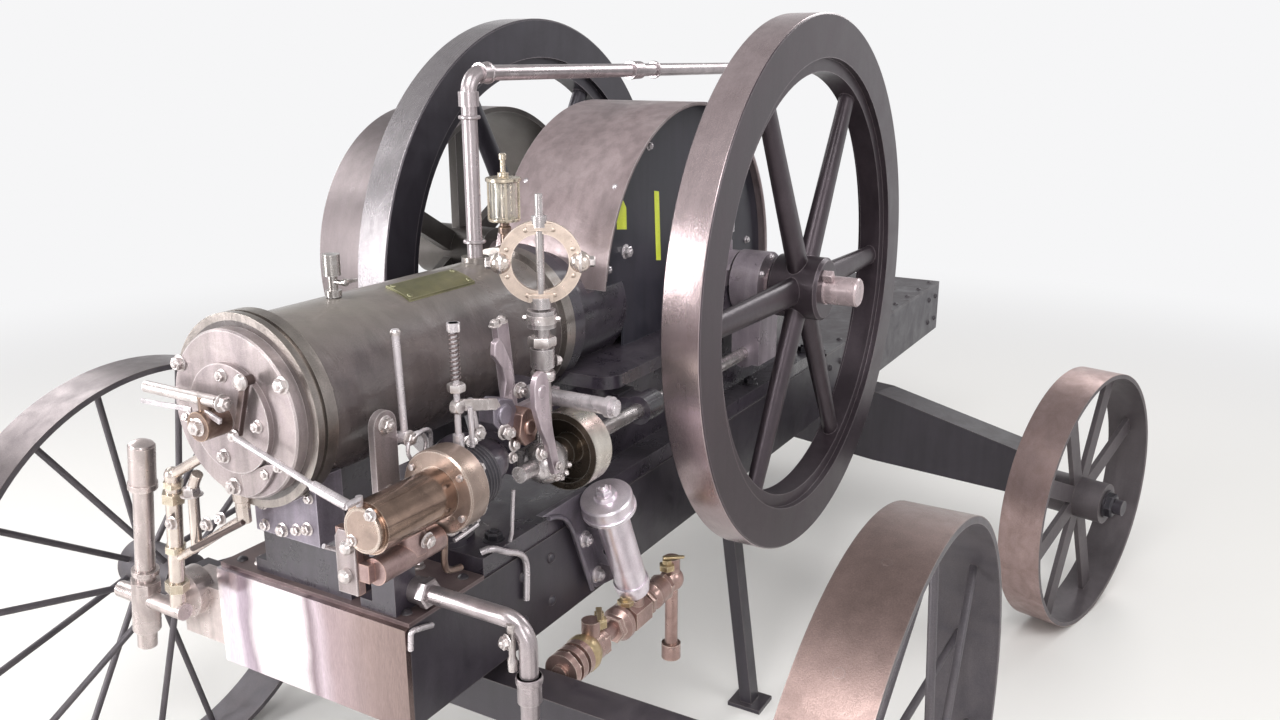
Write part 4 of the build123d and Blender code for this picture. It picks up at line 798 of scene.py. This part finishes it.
# Eight flat facets with screws, as the leaves are bent in short straights
for i in range(8):
    a = math.radians(22.5 + 45 * i)
    for side in (-1, 1):
        spot = ring_face @ Matrix.Translation((leaf_radius * math.cos(a), leaf_radius * math.sin(a),
                                               side * leaf_half_width))
        if side < 0:
            spot = spot @ Matrix.Rotation(math.pi, 4, "X")
        rivet(bm, spot, 0.0048)
for side in (-1, 1):
    # A clamp block and nut above and below, where the leaves meet the spindle
    clamp = ring_place @ Matrix.Translation((0, 0, side * leaf_radius - 0.007))
    slab(bm, clamp, [(-0.024, -0.011), (0.024, -0.011), (0.024, 0.011), (-0.024, 0.011)], 0.014)
keep("governor_leaf_screws", bm, spring_brass, 0.0012, "governor")
bm = bmesh.new()
for side in (-1, 1):
    hub = ring_place @ Matrix.Translation((side * ball_reach, 0, 0)) @ Matrix.Rotation(math.radians(90 * side),
            4, "Y")
    lathe(bm, hub, [(0, 0.016), (0.011, 0.016), (0.011, 0.0265), (0.009, 0.029), (0, 0.029)], 6)
    lathe(bm, hub, [(0.0205, -0.003), (0.0222, -0.0015), (0.0222, 0.0015), (0.0205, 0.003)], 28)
keep("governor_ball_nuts", bm, nut_steel, 0.0, "governor")
bm = bmesh.new()
collar = facing(at(governor_x, governor_y, 0.0), UP)
lathe(bm, collar, [(0.0165, 0.050), (0.026, 0.050), (0.028, 0.053), (0.028, 0.066), (0.026, 0.069),
                   (0.0165, 0.069)], 6)
lathe(bm, collar, [(0.0275, 0.096), (0.0300, 0.097), (0.0300, 0.113), (0.0275, 0.114)], 32)
lathe(bm, collar, [(0.0165, -0.020), (0.022, -0.020), (0.0245, -0.016), (0.0245, -0.004), (0.022, 0.0),
                   (0.0165, 0.0)], 28)
for i in range(4):
    a = math.radians(20 + 90 * i)
    way = (math.cos(a), math.sin(a), 0)
    lathe(bm, facing(at(governor_x + 0.028 * way[0], governor_y + 0.028 * way[1], 0.105), way),
          [(0, 0), (0.0055, 0), (0.0055, 0.008), (0.004, 0.010), (0, 0.010)], 6)
bolt(bm, facing(at(-0.985, -0.318, 0.018), (0.75, -0.65, 0)), 0.010)
keep("governor_column_nuts", bm, nut_steel)
# The bolted lid of the bevel case at the column's foot
side_shaft_z = -0.19
bm = bmesh.new()
for i in range(5):
    a = math.radians(200 + 35 * i)
    way = (0.55 * math.cos(a), -0.75, 0.55 * math.sin(a))
    start = (governor_x + way[0] * 0.3, governor_y + way[1] * 0.3, side_shaft_z + way[2] * 0.3)
    bolt(bm, seat("governor_housing", start, (-way[0], -way[1], -way[2])), 0.007)
keep("bevel_case_nuts", bm, nut_steel)

# ---------------------------------------------------------------- cams and levers
# The cam drum, its rocker shaft and the trip levers are bright worn steel with a pinkish
# bloom. The long flat lever hangs in front of the drum from a pin on the column.
cam_x, drum_radius = -0.915, 0.084
# Cast iron inside, brown with old oil, and a rim that the rollers keep bright
cam_steel = weathered("oily_cam_iron", "#6A5F55", "#54493F", "#CFC8C0", "#6A625A", 1.4, 50, rough=(0.22, 0.38),
                      rub=0.6, dust_and_lit_top=0.0, bump=0.12, oil=0.2, tread=(at(cam_x, governor_y, side_shaft_z),
        Vector(REAR), drum_radius, "#E6E0D8", "#C6BEB4", (0.22, 0.34)), turned=0.15)
cover(cam_steel, "cam_drum")
# Forged steel with a pinkish bloom, rubbed at the edges
lever_steel = weathered("pinkish_lever_steel", "#CCBCC2", "#A6979E", "#EAE2E6", "#7E7674", 1.2, 50, metal=0.65,
                        rough=(0.24, 0.4), rub=0.6, oil=0.3)
cover(lever_steel, "trip_levers")
# Steel with its brown oxide still on
dark_lever = weathered("brown_oxide_steel", "#5E4E4A", "#4A3D3B", "#A8989A", "#6A605C", 1.2, 40, metal=0.6,
                       rough=(0.28, 0.42), cloud=0.16)
cover(dark_lever, "valve_lever")
cover(pin_steel, "rocker_shaft", "valve_push_rod", "hand_lever", "spring_post")


def lever(name, outline, y, thickness, skin, bosses=(), bevel=0.002):
    """A flat lever in an upright plane: outline and bosses in engine x and z, y of its near face."""
    bm = bmesh.new()
    upright = Matrix.Translation(at(0, y + thickness, 0)) @ Matrix.Rotation(math.radians(90), 4, "X")
    slab(bm, upright, outline, thickness)
    for x, z, radius, proud in bosses:
        long = thickness + 2 * proud
        lathe(bm, facing(at(x, y + thickness + proud, z), NEAR),
              [(0, 0), (radius, 0), (radius, long - 0.002), (0.85 * radius, long), (0, long)], 24)
    return keep(name, bm, skin, bevel)


lever("long_trip_lever", [(-1.026, -0.196), (-1.046, -0.196), (-1.066, -0.130), (-1.088, -0.088),
                          (-1.106, -0.040), (-1.106, 0.000), (-1.098, 0.018), (-1.082, 0.024), (-1.068, 0.017),
                          (-1.060, -0.003), (-1.060, -0.048), (-1.048, -0.110)], -0.352, 0.013, lever_steel,
      [(-1.083, -0.016, 0.013, 0.003)])
lever("hooked_trip_lever", [(-1.133, 0.082), (-1.118, 0.088), (-1.106, 0.074), (-1.086, 0.036), (-1.078, 0.000),
                            (-1.086, -0.030), (-1.072, -0.068), (-1.092, -0.082), (-1.112, -0.066),
                            (-1.112, -0.030), (-1.104, 0.000), (-1.112, 0.028), (-1.136, 0.058)], -0.284, 0.012,
      lever_steel)
lever("lever_boss", [(-1.171, -0.030), (-1.150, -0.018), (-1.112, -0.030), (-1.100, -0.052), (-1.112, -0.084),
                     (-1.150, -0.086), (-1.172, -0.062)], -0.304, 0.036, box_iron,
      [(-1.140, -0.052, 0.020, 0.006)], 0.005)
lever("spring_link", [(-1.281, 0.006), (-1.256, 0.010), (-1.162, -0.014), (-1.150, -0.032), (-1.166, -0.036),
                      (-1.262, -0.010), (-1.283, -0.008)], -0.306, 0.010, nut_steel,
      [(-1.269, -0.001, 0.013, 0.004)])
tube("spring_link_leg", [(-1.256, -0.318, -0.002), (-1.254, -0.318, -0.040), (-1.252, -0.316, -0.078)], 0.005,
     pin_steel, False)
tube("spring_link_rod", [(-1.232, -0.298, 0.002), (-1.222, -0.298, -0.036), (-1.214, -0.296, -0.070)], 0.007,
     pin_steel, False)
bm = bmesh.new()
nuts(bm, ((-1.216, -0.300, -0.066, (-0.4, -0.9, 0.1), 0.014), (-1.238, -0.300, -0.078, (-0.6, -0.7, 0.3),
                                                               0.012), (-1.145, -0.306, -0.084, (-0.2, -1, 0),
        0.014), (-1.128, -0.304, -0.092, (0, -1, 0.2), 0.012), (-1.083, -0.300, -0.020, (-0.3, -1, 0), 0.014),
          (-1.113, -0.302, -0.122, (0, -1, 0.3), 0.012), (-1.062, -0.330, -0.150, (-0.2, -1, 0.2), 0.013),
          (-1.124, -0.306, -0.143, (0, -1, 0.1), 0.010), (-1.042, -0.356, -0.178, NEAR, 0.008)))
keep("lever_nuts", bm, nut_steel)
# Worn bronze, pinkish where it is rubbed
bronze_dull = weathered("worn_pinkish_bronze", "#B29A93", "#86655C", "#D8B8A8", "#7C645A", 1.2, 30, rub=0.6,
                        bump=0.15)
lever("bronze_cam_block", [(-1.108, -0.060), (-1.088, -0.050), (-1.064, -0.066), (-1.056, -0.096),
                           (-1.070, -0.122), (-1.100, -0.124), (-1.118, -0.100)], -0.322, 0.034, bronze_dull,
      [(-1.086, -0.090, 0.015, 0.005)], 0.004)
# Adjusting screws on top of the trip levers
bm = bmesh.new()
nuts(bm, ((-1.104, -0.262, 0.106, (-0.13, 0, 0.99), 0.011), (-1.084, -0.262, 0.109, (-0.13, 0, 0.99), 0.011)))
keep("trip_screws", bm, nut_steel)
# A collar on the rocker shaft, and its centred end
rocker_x, rocker_z = -0.925, -0.082
bm = bmesh.new()
lathe(bm, facing(at(rocker_x, -0.398, rocker_z), NEAR), band(0.0172, 0.022, 0, 0.012), 28)
lathe(bm, facing(at(rocker_x, -0.4195, rocker_z), NEAR), [(0, -0.001), (0.012, 0), (0.011, 0.0015),
                                                          (0.004, 0.0015), (0, -0.001)], 20)
keep("rocker_shaft_collar", bm, pin_steel)

# The spring post: a threaded rod with a square nut on top and a coil spring below it.
post_x, post_y, turns, per_turn = -1.269, -0.300, 11, 12
coil_radius, coil_foot, coil_height = 0.0082, 0.047, 0.088
coil = []
for i in range(turns * per_turn + 1):
    a = 2 * math.pi * i / per_turn
    coil.append((post_x + coil_radius * math.cos(a), post_y + coil_radius * math.sin(a),
                 coil_foot + coil_height * i / (turns * per_turn)))
tube("spring_post_coil", coil, 0.0017, dark_lever, False)
bm = bmesh.new()
lathe(bm, facing(at(post_x, post_y, 0.1365), UP), [(0, 0), (0.0135, 0), (0.0135, 0.0125), (0.011, 0.0155),
                                                   (0, 0.0155)], 4)
lathe(bm, facing(at(post_x, post_y, 0.028), UP),
      [(0.0062, 0), (0.0155, 0), (0.0165, 0.002), (0.0165, 0.012), (0.0155, 0.014), (0.0062, 0.014)], 6)
keep("spring_post_nuts", bm, nut_steel)

# The hand lever stands by an upright bracket: a hook hangs from its pivot.
bm = bmesh.new()
nuts(bm, ((-1.312, -0.222, -0.060, NEAR, 0.013), (-1.352, -0.206, -0.026, NEAR, 0.015),
          (-1.352, -0.206, -0.150, NEAR, 0.011)))
lathe(bm, facing(at(-1.320, -0.213, 0.130), (0.03, 0, 1)), [(0, -0.002), (0.0085, 0), (0.0095, 0.006),
                                                            (0.007, 0.0095), (0, 0.0098)], 16)
keep("hand_lever_nuts", bm, nut_steel)
tube("hand_lever_hook", [(-1.312, -0.230, -0.060), (-1.290, -0.232, -0.050), (-1.264, -0.230, -0.056),
                         (-1.258, -0.226, -0.072), (-1.260, -0.226, -0.100), (-1.262, -0.226, -0.136)], 0.0042,
     pin_steel)
turns = [math.radians(degrees) for degrees in range(0, 361, 20)]
tube("hand_lever_ring", [(-1.300 + 0.024 * math.cos(a), -0.229, -0.078 + 0.026 * math.sin(a)) for a in turns],
     0.0036, pin_steel, False)

# The valve lever has a bright ball nut at its top and hangs beside the raised disc.
bm = bmesh.new()
lathe(bm, facing(at(-1.530, -0.070, 0.079), HEAD), [(0, 0), (0.012, 0.001), (0.0145, 0.006), (0.012, 0.012),
                                                    (0.006, 0.015), (0, 0.0155)], 20)
bolt(bm, facing(at(-1.533, -0.038, -0.020), HEAD), 0.010)
keep("valve_lever_nuts", bm, nut_steel)

# ---------------------------------------------------------------- igniter
# A small bronze body on the head with a steel cross rod, two bright contact strips and
# lock nuts.
cover(brown_bronze, "igniter")
bm = bmesh.new()
nuts(bm, ((-1.5615, 0.015, -0.005, HEAD, 0.014), (-1.5440, -0.029, 0.039, NEAR, 0.014),
          (-1.553, 0.030, 0.004, (-1, 0, 0.3), 0.008), (-1.553, 0.052, 0.004, (-1, 0, 0.3), 0.008)))
lathe(bm, facing(at(-1.544, 0.165, 0.039), NEAR), band(0, 0.0105, 0.0, 0.184), 16)
keep("igniter_cross_rod", bm, nut_steel)
bm = bmesh.new()
strip_place = Matrix.Translation(at(-1.546, 0, 0)) @ face
slab(bm, strip_place, [(0.045, 0.022), (0.178, 0.016), (0.178, 0.008), (0.045, 0.012)], 0.004)
slab(bm, strip_place, [(-0.030, 0.012), (0.020, 0.028), (0.024, 0.020), (-0.026, 0.003)], 0.006)
keep("igniter_strips", bm, pin_steel, 0.001)

# ---------------------------------------------------------------- mixer
# The mixer's barrel is brass worn brown, with a pale end disc, a bright flange, and a
# ribbed iron neck. It stands on a bronze body with a plate on two ball bolts.
# Brass barrel turned smooth and worn brown, with a sharp shine along it
barrel_brass = weathered("brown_barrel_brass", "#A88F80", "#7E6A60", "#E4D2C4", "#7A6C58", 1.4, 60, metal=0.9,
                         rough=(0.12, 0.2), rub=0.7, oil=0.25)
cover(barrel_brass, "mixer_barrel")
# Brass scoured pale, satin
pale_brass = weathered("pale_scoured_brass", "#B09C90", "#94827A", "#F4E8DE", "#8F8070", 1.2, 40, metal=0.75,
                       rough=(0.24, 0.38), rub=0.6)
mixer_y, mixer_z, flange_rear_x, flange_front_x = -0.300, -0.140, -1.2835, -1.3335
axis_place = facing(at(0, mixer_y, mixer_z), HEAD)
bm = bmesh.new()
lathe(bm, axis_place, [(0, 1.5155), (0.0385, 1.5155), (0.0395, 1.5165), (0.0385, 1.5178), (0.0360, 1.5178),
                       (0.0350, 1.5166), (0, 1.5166)], 40)
lathe(bm, axis_place, [(0.0465, 1.284), (0.0765, 1.284), (0.0775, 1.288), (0.0775, 1.330), (0.0750, 1.3335),
                       (0.0465, 1.3335)], 56)
keep("mixer_scoured_faces", bm, pale_brass)
bm = bmesh.new()
for i in range(7):
    rib = 1.2285 + 0.0085 * i
    lathe(bm, axis_place, [(0.0575, rib), (0.0600, rib + 0.001), (0.0600, rib + 0.004), (0.0575, rib + 0.005)],
          40)
keep("mixer_neck_ribs", bm, dark_iron)
bm = bmesh.new()
lathe(bm, axis_place, band(0.0578, 0.0590, 1.2252, 1.2838), 48)
keep("mixer_neck_band", bm, dark_iron)
bm = bmesh.new()
nuts(bm, ((-1.5165, -0.322, -0.107, HEAD, 0.010), (-1.5165, -0.276, -0.162, HEAD, 0.009)))
bolt_circle = 0.0655
for a in (math.radians(degrees) for degrees in (35, 145, 215, 325)):
    y, z = mixer_y + bolt_circle * math.cos(a), mixer_z + bolt_circle * math.sin(a)
    bolt(bm, facing(at(flange_rear_x, y, z), REAR), 0.011)
    lathe(bm, facing(at(flange_front_x, y, z), HEAD), [(0, 0), (0.0068, 0), (0.006, 0.005), (0, 0.006)], 12)
keep("mixer_bolts", bm, nut_steel)
# Sand-cast bronze, pinkish and dull
foot_bronze = weathered("pinkish_foot_bronze", "#B29B96", "#8A7272", "#D6B4A4", "#7C645A", 1.4, 34, metal=0.8,
                        rough=(0.26, 0.44), rub=0.6, dust_and_lit_top=0.15, bump=0.25)
cover(foot_bronze, "mixer_foot")
bm = bmesh.new()
slab(bm, Matrix.Translation(at(-1.509, 0, 0)) @ face, [(-0.2755, -0.2655), (-0.2325, -0.2655),
                                                       (-0.2325, -0.1650), (-0.2420, -0.1505),
                                                       (-0.2660, -0.1505), (-0.2755, -0.1650)], 0.004)
keep("mixer_foot_plate_face", bm, head_iron, 0.001)
bm = bmesh.new()
for y, z in ((-0.254, -0.231), (-0.262, -0.178)):
    lathe(bm, facing(at(-1.513, y, z), HEAD), [(0, 0), (0.0135, 0.0005), (0.0125, 0.008), (0.008, 0.0125),
                                               (0, 0.014)], 20)
keep("mixer_foot_ball_bolts", bm, nut_steel)
# Small valve and nuts that hang below the barrel
bm = bmesh.new()
nuts(bm, ((-1.400, -0.330, -0.196, (0, -1, -0.2), 0.013), (-1.300, -0.300, -0.218, DOWN, 0.014),
          (-1.268, -0.296, -0.226, (-0.3, -0.6, -0.6), 0.012), (-1.225, -0.290, -0.232, (0, -0.5, -1), 0.011)))
keep("mixer_low_nuts", bm, nut_steel)
tube("mixer_drain_cock", [(-1.306, -0.290, -0.212), (-1.309, -0.290, -0.245), (-1.312, -0.288, -0.290),
                          (-1.300, -0.286, -0.312), (-1.262, -0.284, -0.318)], 0.0065, brown_bronze)
tube("mixer_cock_handle", [(-1.290, -0.296, -0.250), (-1.262, -0.300, -0.246), (-1.232, -0.304, -0.238)],
     0.0045, pin_steel)

# ---------------------------------------------------------------- fuel pump
# A bright plated pump leans against the bed. Its cap has a gland nut and a stem, and its
# cast plate is held by two bolts and has a raised rim.
# Nickel plate over turned steel: silvery and soft, with a streak of light down it
pump_plate_finish = weathered("worn_pump_plating", "#F4EBF2", "#E6DBE3", "#FAF5F9", "#978D8E", 1.4, 90,
                              rough=(0.27, 0.36), dust_and_lit_top=0.0, bump=0.06, oil=0.1, cloud=0.1, wavy=0.02)
pump_top = at(-0.859, -0.347, -0.299)
pump_foot = at(-0.733, -0.347, -0.590)
pump_way = (pump_top - pump_foot).normalized()
along = facing(pump_foot, pump_way)
length = (pump_top - pump_foot).length
barrel, cap, gland = 0.037, 0.058, 0.0105
bm = bmesh.new()
lathe(bm, along, [(0, 0), (0.031, 0), (barrel, 0.005), (barrel, length - 0.060), (0.055, length - 0.059),
                  (cap, length - 0.054), (cap, length - 0.019), (0.055, length - 0.015),
                  (0.026, length - 0.0148), (0.023, length - 0.004), (gland, length - 0.002),
                  (gland, length + 0.012), (0.006, length + 0.016), (0, length + 0.016)], 56)
pump = keep("fuel_pump_turned", bm, pump_plate_finish)
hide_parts("fuel_pump")
# A bead on the cap, a ring round the barrel's foot, and the gland nut
bm = bmesh.new()
lathe(bm, along, [(0.0575, length - 0.054), (0.0605, length - 0.053), (0.0605, length - 0.046),
                  (0.0575, length - 0.045)], 48)
lathe(bm, along, [(0.0368, 0.020), (0.0405, 0.020), (0.0415, 0.024), (0.0415, 0.036), (0.0405, 0.040),
                  (0.0368, 0.040)], 40)
lathe(bm, along, [(0.0103, length - 0.0035), (0.0190, length - 0.0035), (0.0190, length + 0.005),
                  (0.0160, length + 0.008), (0.0103, length + 0.008)], 6)
keep("fuel_pump_rings", bm, pump_plate_finish)
# Cast plate with most of its paint gone: mauve grey with bright edges
plate_iron = weathered("grey_pump_plate_iron", "#857E88", "#69636C", "#A8A2A8", "#5A5454", 2.0, 50, metal=0.5,
                       rough=(0.28, 0.44), rub=0.6, dust_and_lit_top=0.15, bump=0.3, oil=0.2)
cover(plate_iron, "fuel_pump_bracket")
bm = bmesh.new()
for x, z in ((-0.851, -0.427), (-0.803, -0.533)):
    spot = land("fuel_pump_bracket", (x, -0.6, z), FAR)
    lathe(bm, facing(spot, NEAR), band(0, 0.0195, 0, 0.003), 24)
    bolt(bm, facing(spot - Vector((0, 0.003, 0)), NEAR), 0.015)
keep("pump_plate_bolts", bm, pin_steel)
tube("pump_plate_rim", [(-0.985, -0.290, -0.326), (-0.946, -0.291, -0.333), (-0.908, -0.291, -0.366),
                        (-0.878, -0.291, -0.430), (-0.846, -0.291, -0.510), (-0.824, -0.291, -0.560)], 0.0055,
     plate_iron)

# ---------------------------------------------------------------- bronze valve train
# Cast bronze valves and unions in a row under the bed, paler where hands turn them: hex
# nuts at each joint, gland nuts and small levers on top.
# Cast bronze, copper red under a brown skin, with near-white rubbed edges that also paint cream highlights
# along them
old_bronze = weathered("copper_red_bronze", "#BCA098", "#957A75", "#F6E8D8", "#7C645A", 1.6, 40, metal=0.8,
                       rub=0.6, dust_and_lit_top=0.15, bump=0.3)
cover(old_bronze, "bronze_valve_train")
# Bronze that hands keep yellow
pale_bronze = weathered("pale_yellow_bronze", "#CDB994", "#A89270", "#EADDBC", "#7C6C5A", 1.4, 34, metal=0.8,
                        rub=0.6, bump=0.25)
train_y, train_z, core = -0.347, -0.642, 0.0183
bm = bmesh.new()
for x, radius, width in ((-1.030, 0.040, 0.020), (-0.990, 0.034, 0.016), (-0.905, 0.036, 0.022),
                         (-0.835, 0.034, 0.018), (-0.745, 0.038, 0.024), (-0.690, 0.034, 0.016),
                         (-0.610, 0.034, 0.020)):
    nut = facing(at(x, train_y, train_z), REAR, x * 40)
    lathe(bm, nut, [(core, 0), (0.9 * radius, 0), (radius, 0.003), (radius, width - 0.003),
                    (0.9 * radius, width), (core, width)], 6)
for x, radius, half in ((-0.800, 0.040, 0.026), (-0.650, 0.034, 0.022)):
    lathe(bm, facing(at(x, train_y, train_z), REAR), [(core, -half), (0.026, -half),
                                                      (0.8 * radius, -0.7 * half), (radius, -0.25 * half),
                                                      (radius, 0.25 * half), (0.8 * radius, 0.7 * half),
                                                      (0.026, half), (core, half)], 32)
keep("valve_train_nuts", bm, old_bronze)
bm = bmesh.new()
lathe(bm, facing(at(-0.950, train_y, train_z), REAR),
      [(core, -0.032), (0.028, -0.032), (0.036, -0.022), (0.042, -0.008), (0.042, 0.008), (0.036, 0.022),
       (0.028, 0.032), (core, 0.032)], 32)
for x, z, radius, tall in ((-0.885, -0.608, 0.019, 0.034), (-0.770, -0.608, 0.020, 0.020),
        (-0.575, -0.606, 0.020, 0.026)):
    gland = facing(at(x, train_y, z), UP, x * 30)
    lathe(bm, gland, [(0, 0), (radius, 0), (radius, tall * 0.5), (radius * 0.8, tall * 0.6),
                      (radius * 0.62, tall * 0.62), (radius * 0.62, tall), (0, tall)], 6)
keep("valve_train_glands", bm, pale_bronze)
bm = bmesh.new()
for x, z, turn, reach in ((-0.885, -0.572, 0.6, 0.050), (-0.575, -0.578, 2.2, 0.044)):
    slab(bm, facing(at(x, train_y, z), UP, turn), [(-0.010, -0.007), (reach - 0.004, -0.005), (reach, 0.0),
                                                   (reach - 0.004, 0.005), (-0.010, 0.007)], 0.006)
keep("valve_train_handles", bm, pale_bronze, 0.0015)

# ---------------------------------------------------------------- front pipe
# Dull pipe that comes out beside the front corner and goes down, with a flange nut, a
# coupling, and a bright drain fitting on its side.
cover(zinc_pipe, "front_pipe")
front_pipe_x = -1.338
bm = bmesh.new()
lathe(bm, facing(at(front_pipe_x, -0.262, -0.340), NEAR), [(0.0172, 0), (0.0285, 0), (0.0285, 0.014),
                                                           (0.025, 0.017), (0.0172, 0.017)], 6)
lathe(bm, facing(at(front_pipe_x, -0.490, -0.440), DOWN), [(0.0170, 0), (0.0235, 0), (0.0245, 0.004),
                                                           (0.0245, 0.010), (0.0235, 0.014), (0.0170, 0.014)],
      28)
keep("front_pipe_nuts", bm, zinc_pipe)
bm = bmesh.new()
drain = facing(at(-1.352, -0.466, -0.430), UP)
lathe(bm, drain, [(0, 0), (0.008, 0), (0.009, 0.004), (0.009, 0.022), (0.0065, 0.028), (0.0065, 0.072),
                  (0.009, 0.076), (0.009, 0.090), (0, 0.092)], 14)
bolt(bm, facing(at(-1.360, -0.462, -0.372), (-0.9, 0.4, 0)), 0.013)
keep("front_pipe_drain", bm, nut_steel)
# A thin tube with a hooked end comes out of the bed's foot
tube("bed_drain_tube", [(-1.175, -0.262, -0.330), (-1.160, -0.276, -0.322), (-1.126, -0.283, -0.345),
                        (-1.078, -0.284, -0.366), (-1.058, -0.284, -0.392), (-1.058, -0.284, -0.430),
                        (-1.062, -0.284, -0.478)], 0.0070, pin_steel)
tube("bed_side_rod", [(-1.083, -0.276, -0.230), (-1.088, -0.272, -0.324), (-1.089, -0.266, -0.345)], 0.0042,
     pin_steel, False)

# ---------------------------------------------------------------- pipes beside the head
# A leaning capped pipe beside the front plate with a cross arm, a brass feed pipe up to
# the head, and between them plated cocks, unions and a drain under the head.
# Plated pipe gone cream with age
cream_pipe = weathered("cream_plated_pipe", "#D8CCC9", "#B8ABA9", "#F0E6E4", "#8F8480", 1.4, 50, metal=0.75,
                       rough=(0.22, 0.36), rub=0.4, dust_and_lit_top=0.15, bump=0.12, oil=0.3, cloud=0.3)
cover(cream_pipe, "left_pipe")
cover(ball_steel, "brass_riser")
bm = bmesh.new()
lean_angle, pipes_x, left_radius, riser_radius = math.radians(8.5), -1.478, 0.0195, 0.0152
lean = Vector((0, -math.sin(lean_angle), math.cos(lean_angle)))
left_foot = at(pipes_x, 0.357, -0.500)
for rise, radius, tall, sides in ((0.070, 0.030, 0.024, 6), (0.298, 0.0275, 0.012, 28),
        (0.108, 0.026, 0.010, 28)):
    lathe(bm, facing(left_foot + lean * rise, lean), band(left_radius, radius, 0, tall), sides)
lathe(bm, facing(left_foot + lean * 0.384, lean), [(0.0, 0), (0.0245, 0.0), (0.022, 0.008), (0.012, 0.0135),
                                                   (0, 0.015)], 28)
keep("left_pipe_rings", bm, cream_pipe)
bm = bmesh.new()
rise_low = at(pipes_x, 0.252, -0.450)
rise_top = at(pipes_x, 0.217, -0.160)
riser_way = (rise_top - rise_low).normalized()
riser_length = (rise_top - rise_low).length
for spot, radius, tall in ((0.045, 0.0225, 0.020), (0.130, 0.020, 0.014), (riser_length - 0.055, 0.0225, 0.020),
                           (riser_length - 0.024, 0.019, 0.012)):
    lathe(bm, facing(rise_low + riser_way * spot, riser_way, spot * 30), band(riser_radius, radius, 0, tall), 6)
keep("brass_riser_nuts", bm, oiler_brass)
# The cock under the head: a bright fitting with a dark lever, a slanting pipe and a feed pipe
bm = bmesh.new()
cock = facing(at(-1.480, 0.027, -0.212), UP)
lathe(bm, cock, [(0, 0), (0.013, 0), (0.013, 0.040), (0.016, 0.043), (0.016, 0.058), (0.010, 0.061),
                 (0.010, 0.078), (0, 0.078)], 8)
keep("head_drain_cock", bm, ball_steel)
tube("head_drain_pipe", [(-1.480, 0.027, -0.205), (-1.480, 0.060, -0.224), (-1.479, 0.110, -0.258),
                         (-1.478, 0.165, -0.294), (-1.478, 0.232, -0.335)], 0.0085, ball_steel)
tube("head_feed_pipe", [(-1.474, 0.150, -0.146), (-1.476, 0.166, -0.168), (-1.478, 0.166, -0.215),
                        (-1.479, 0.168, -0.262), (-1.478, 0.172, -0.296)], 0.0105, ball_steel)
tube("head_cock_lever", [(-1.492, 0.016, -0.206), (-1.494, 0.060, -0.232), (-1.495, 0.112, -0.262),
                         (-1.496, 0.160, -0.290)], 0.0055, dark_lever)
bm = bmesh.new()
nuts(bm, ((-1.479, 0.167, -0.190, UP, 0.018), (-1.490, 0.116, -0.232, HEAD, 0.012),
          (-1.486, 0.082, -0.216, (-1, 0, 0.2), 0.011), (-1.494, 0.212, -0.250, HEAD, 0.012)))
keep("head_pipe_nuts", bm, nut_steel)
# A control rod from the valve box to the mixer's plate, with nuts on studs beside it
tube("control_rod", [(-1.505, -0.196, -0.196), (-1.458, -0.205, -0.226), (-1.400, -0.216, -0.280)], 0.0045,
     pin_steel, False)
bm = bmesh.new()
for y, z, size in ((0.010, -0.226, 0.010), (-0.034, -0.226, 0.012), (-0.070, -0.218, 0.010),
        (-0.098, -0.210, 0.011), (0.012, -0.186, 0.009), (-0.108, -0.150, 0.009)):
    bolt(bm, seat("valve_box", (-1.8, y, z), REAR), size)
for x, y in ((-1.360, 0.140), (-1.330, 0.060), (-1.300, -0.170), (-1.220, -0.140), (-1.220, 0.120)):
    bolt(bm, seat("front_deck_plate", (x, y, -0.3), DOWN), 0.013)
keep("valve_box_nuts", bm, nut_steel)
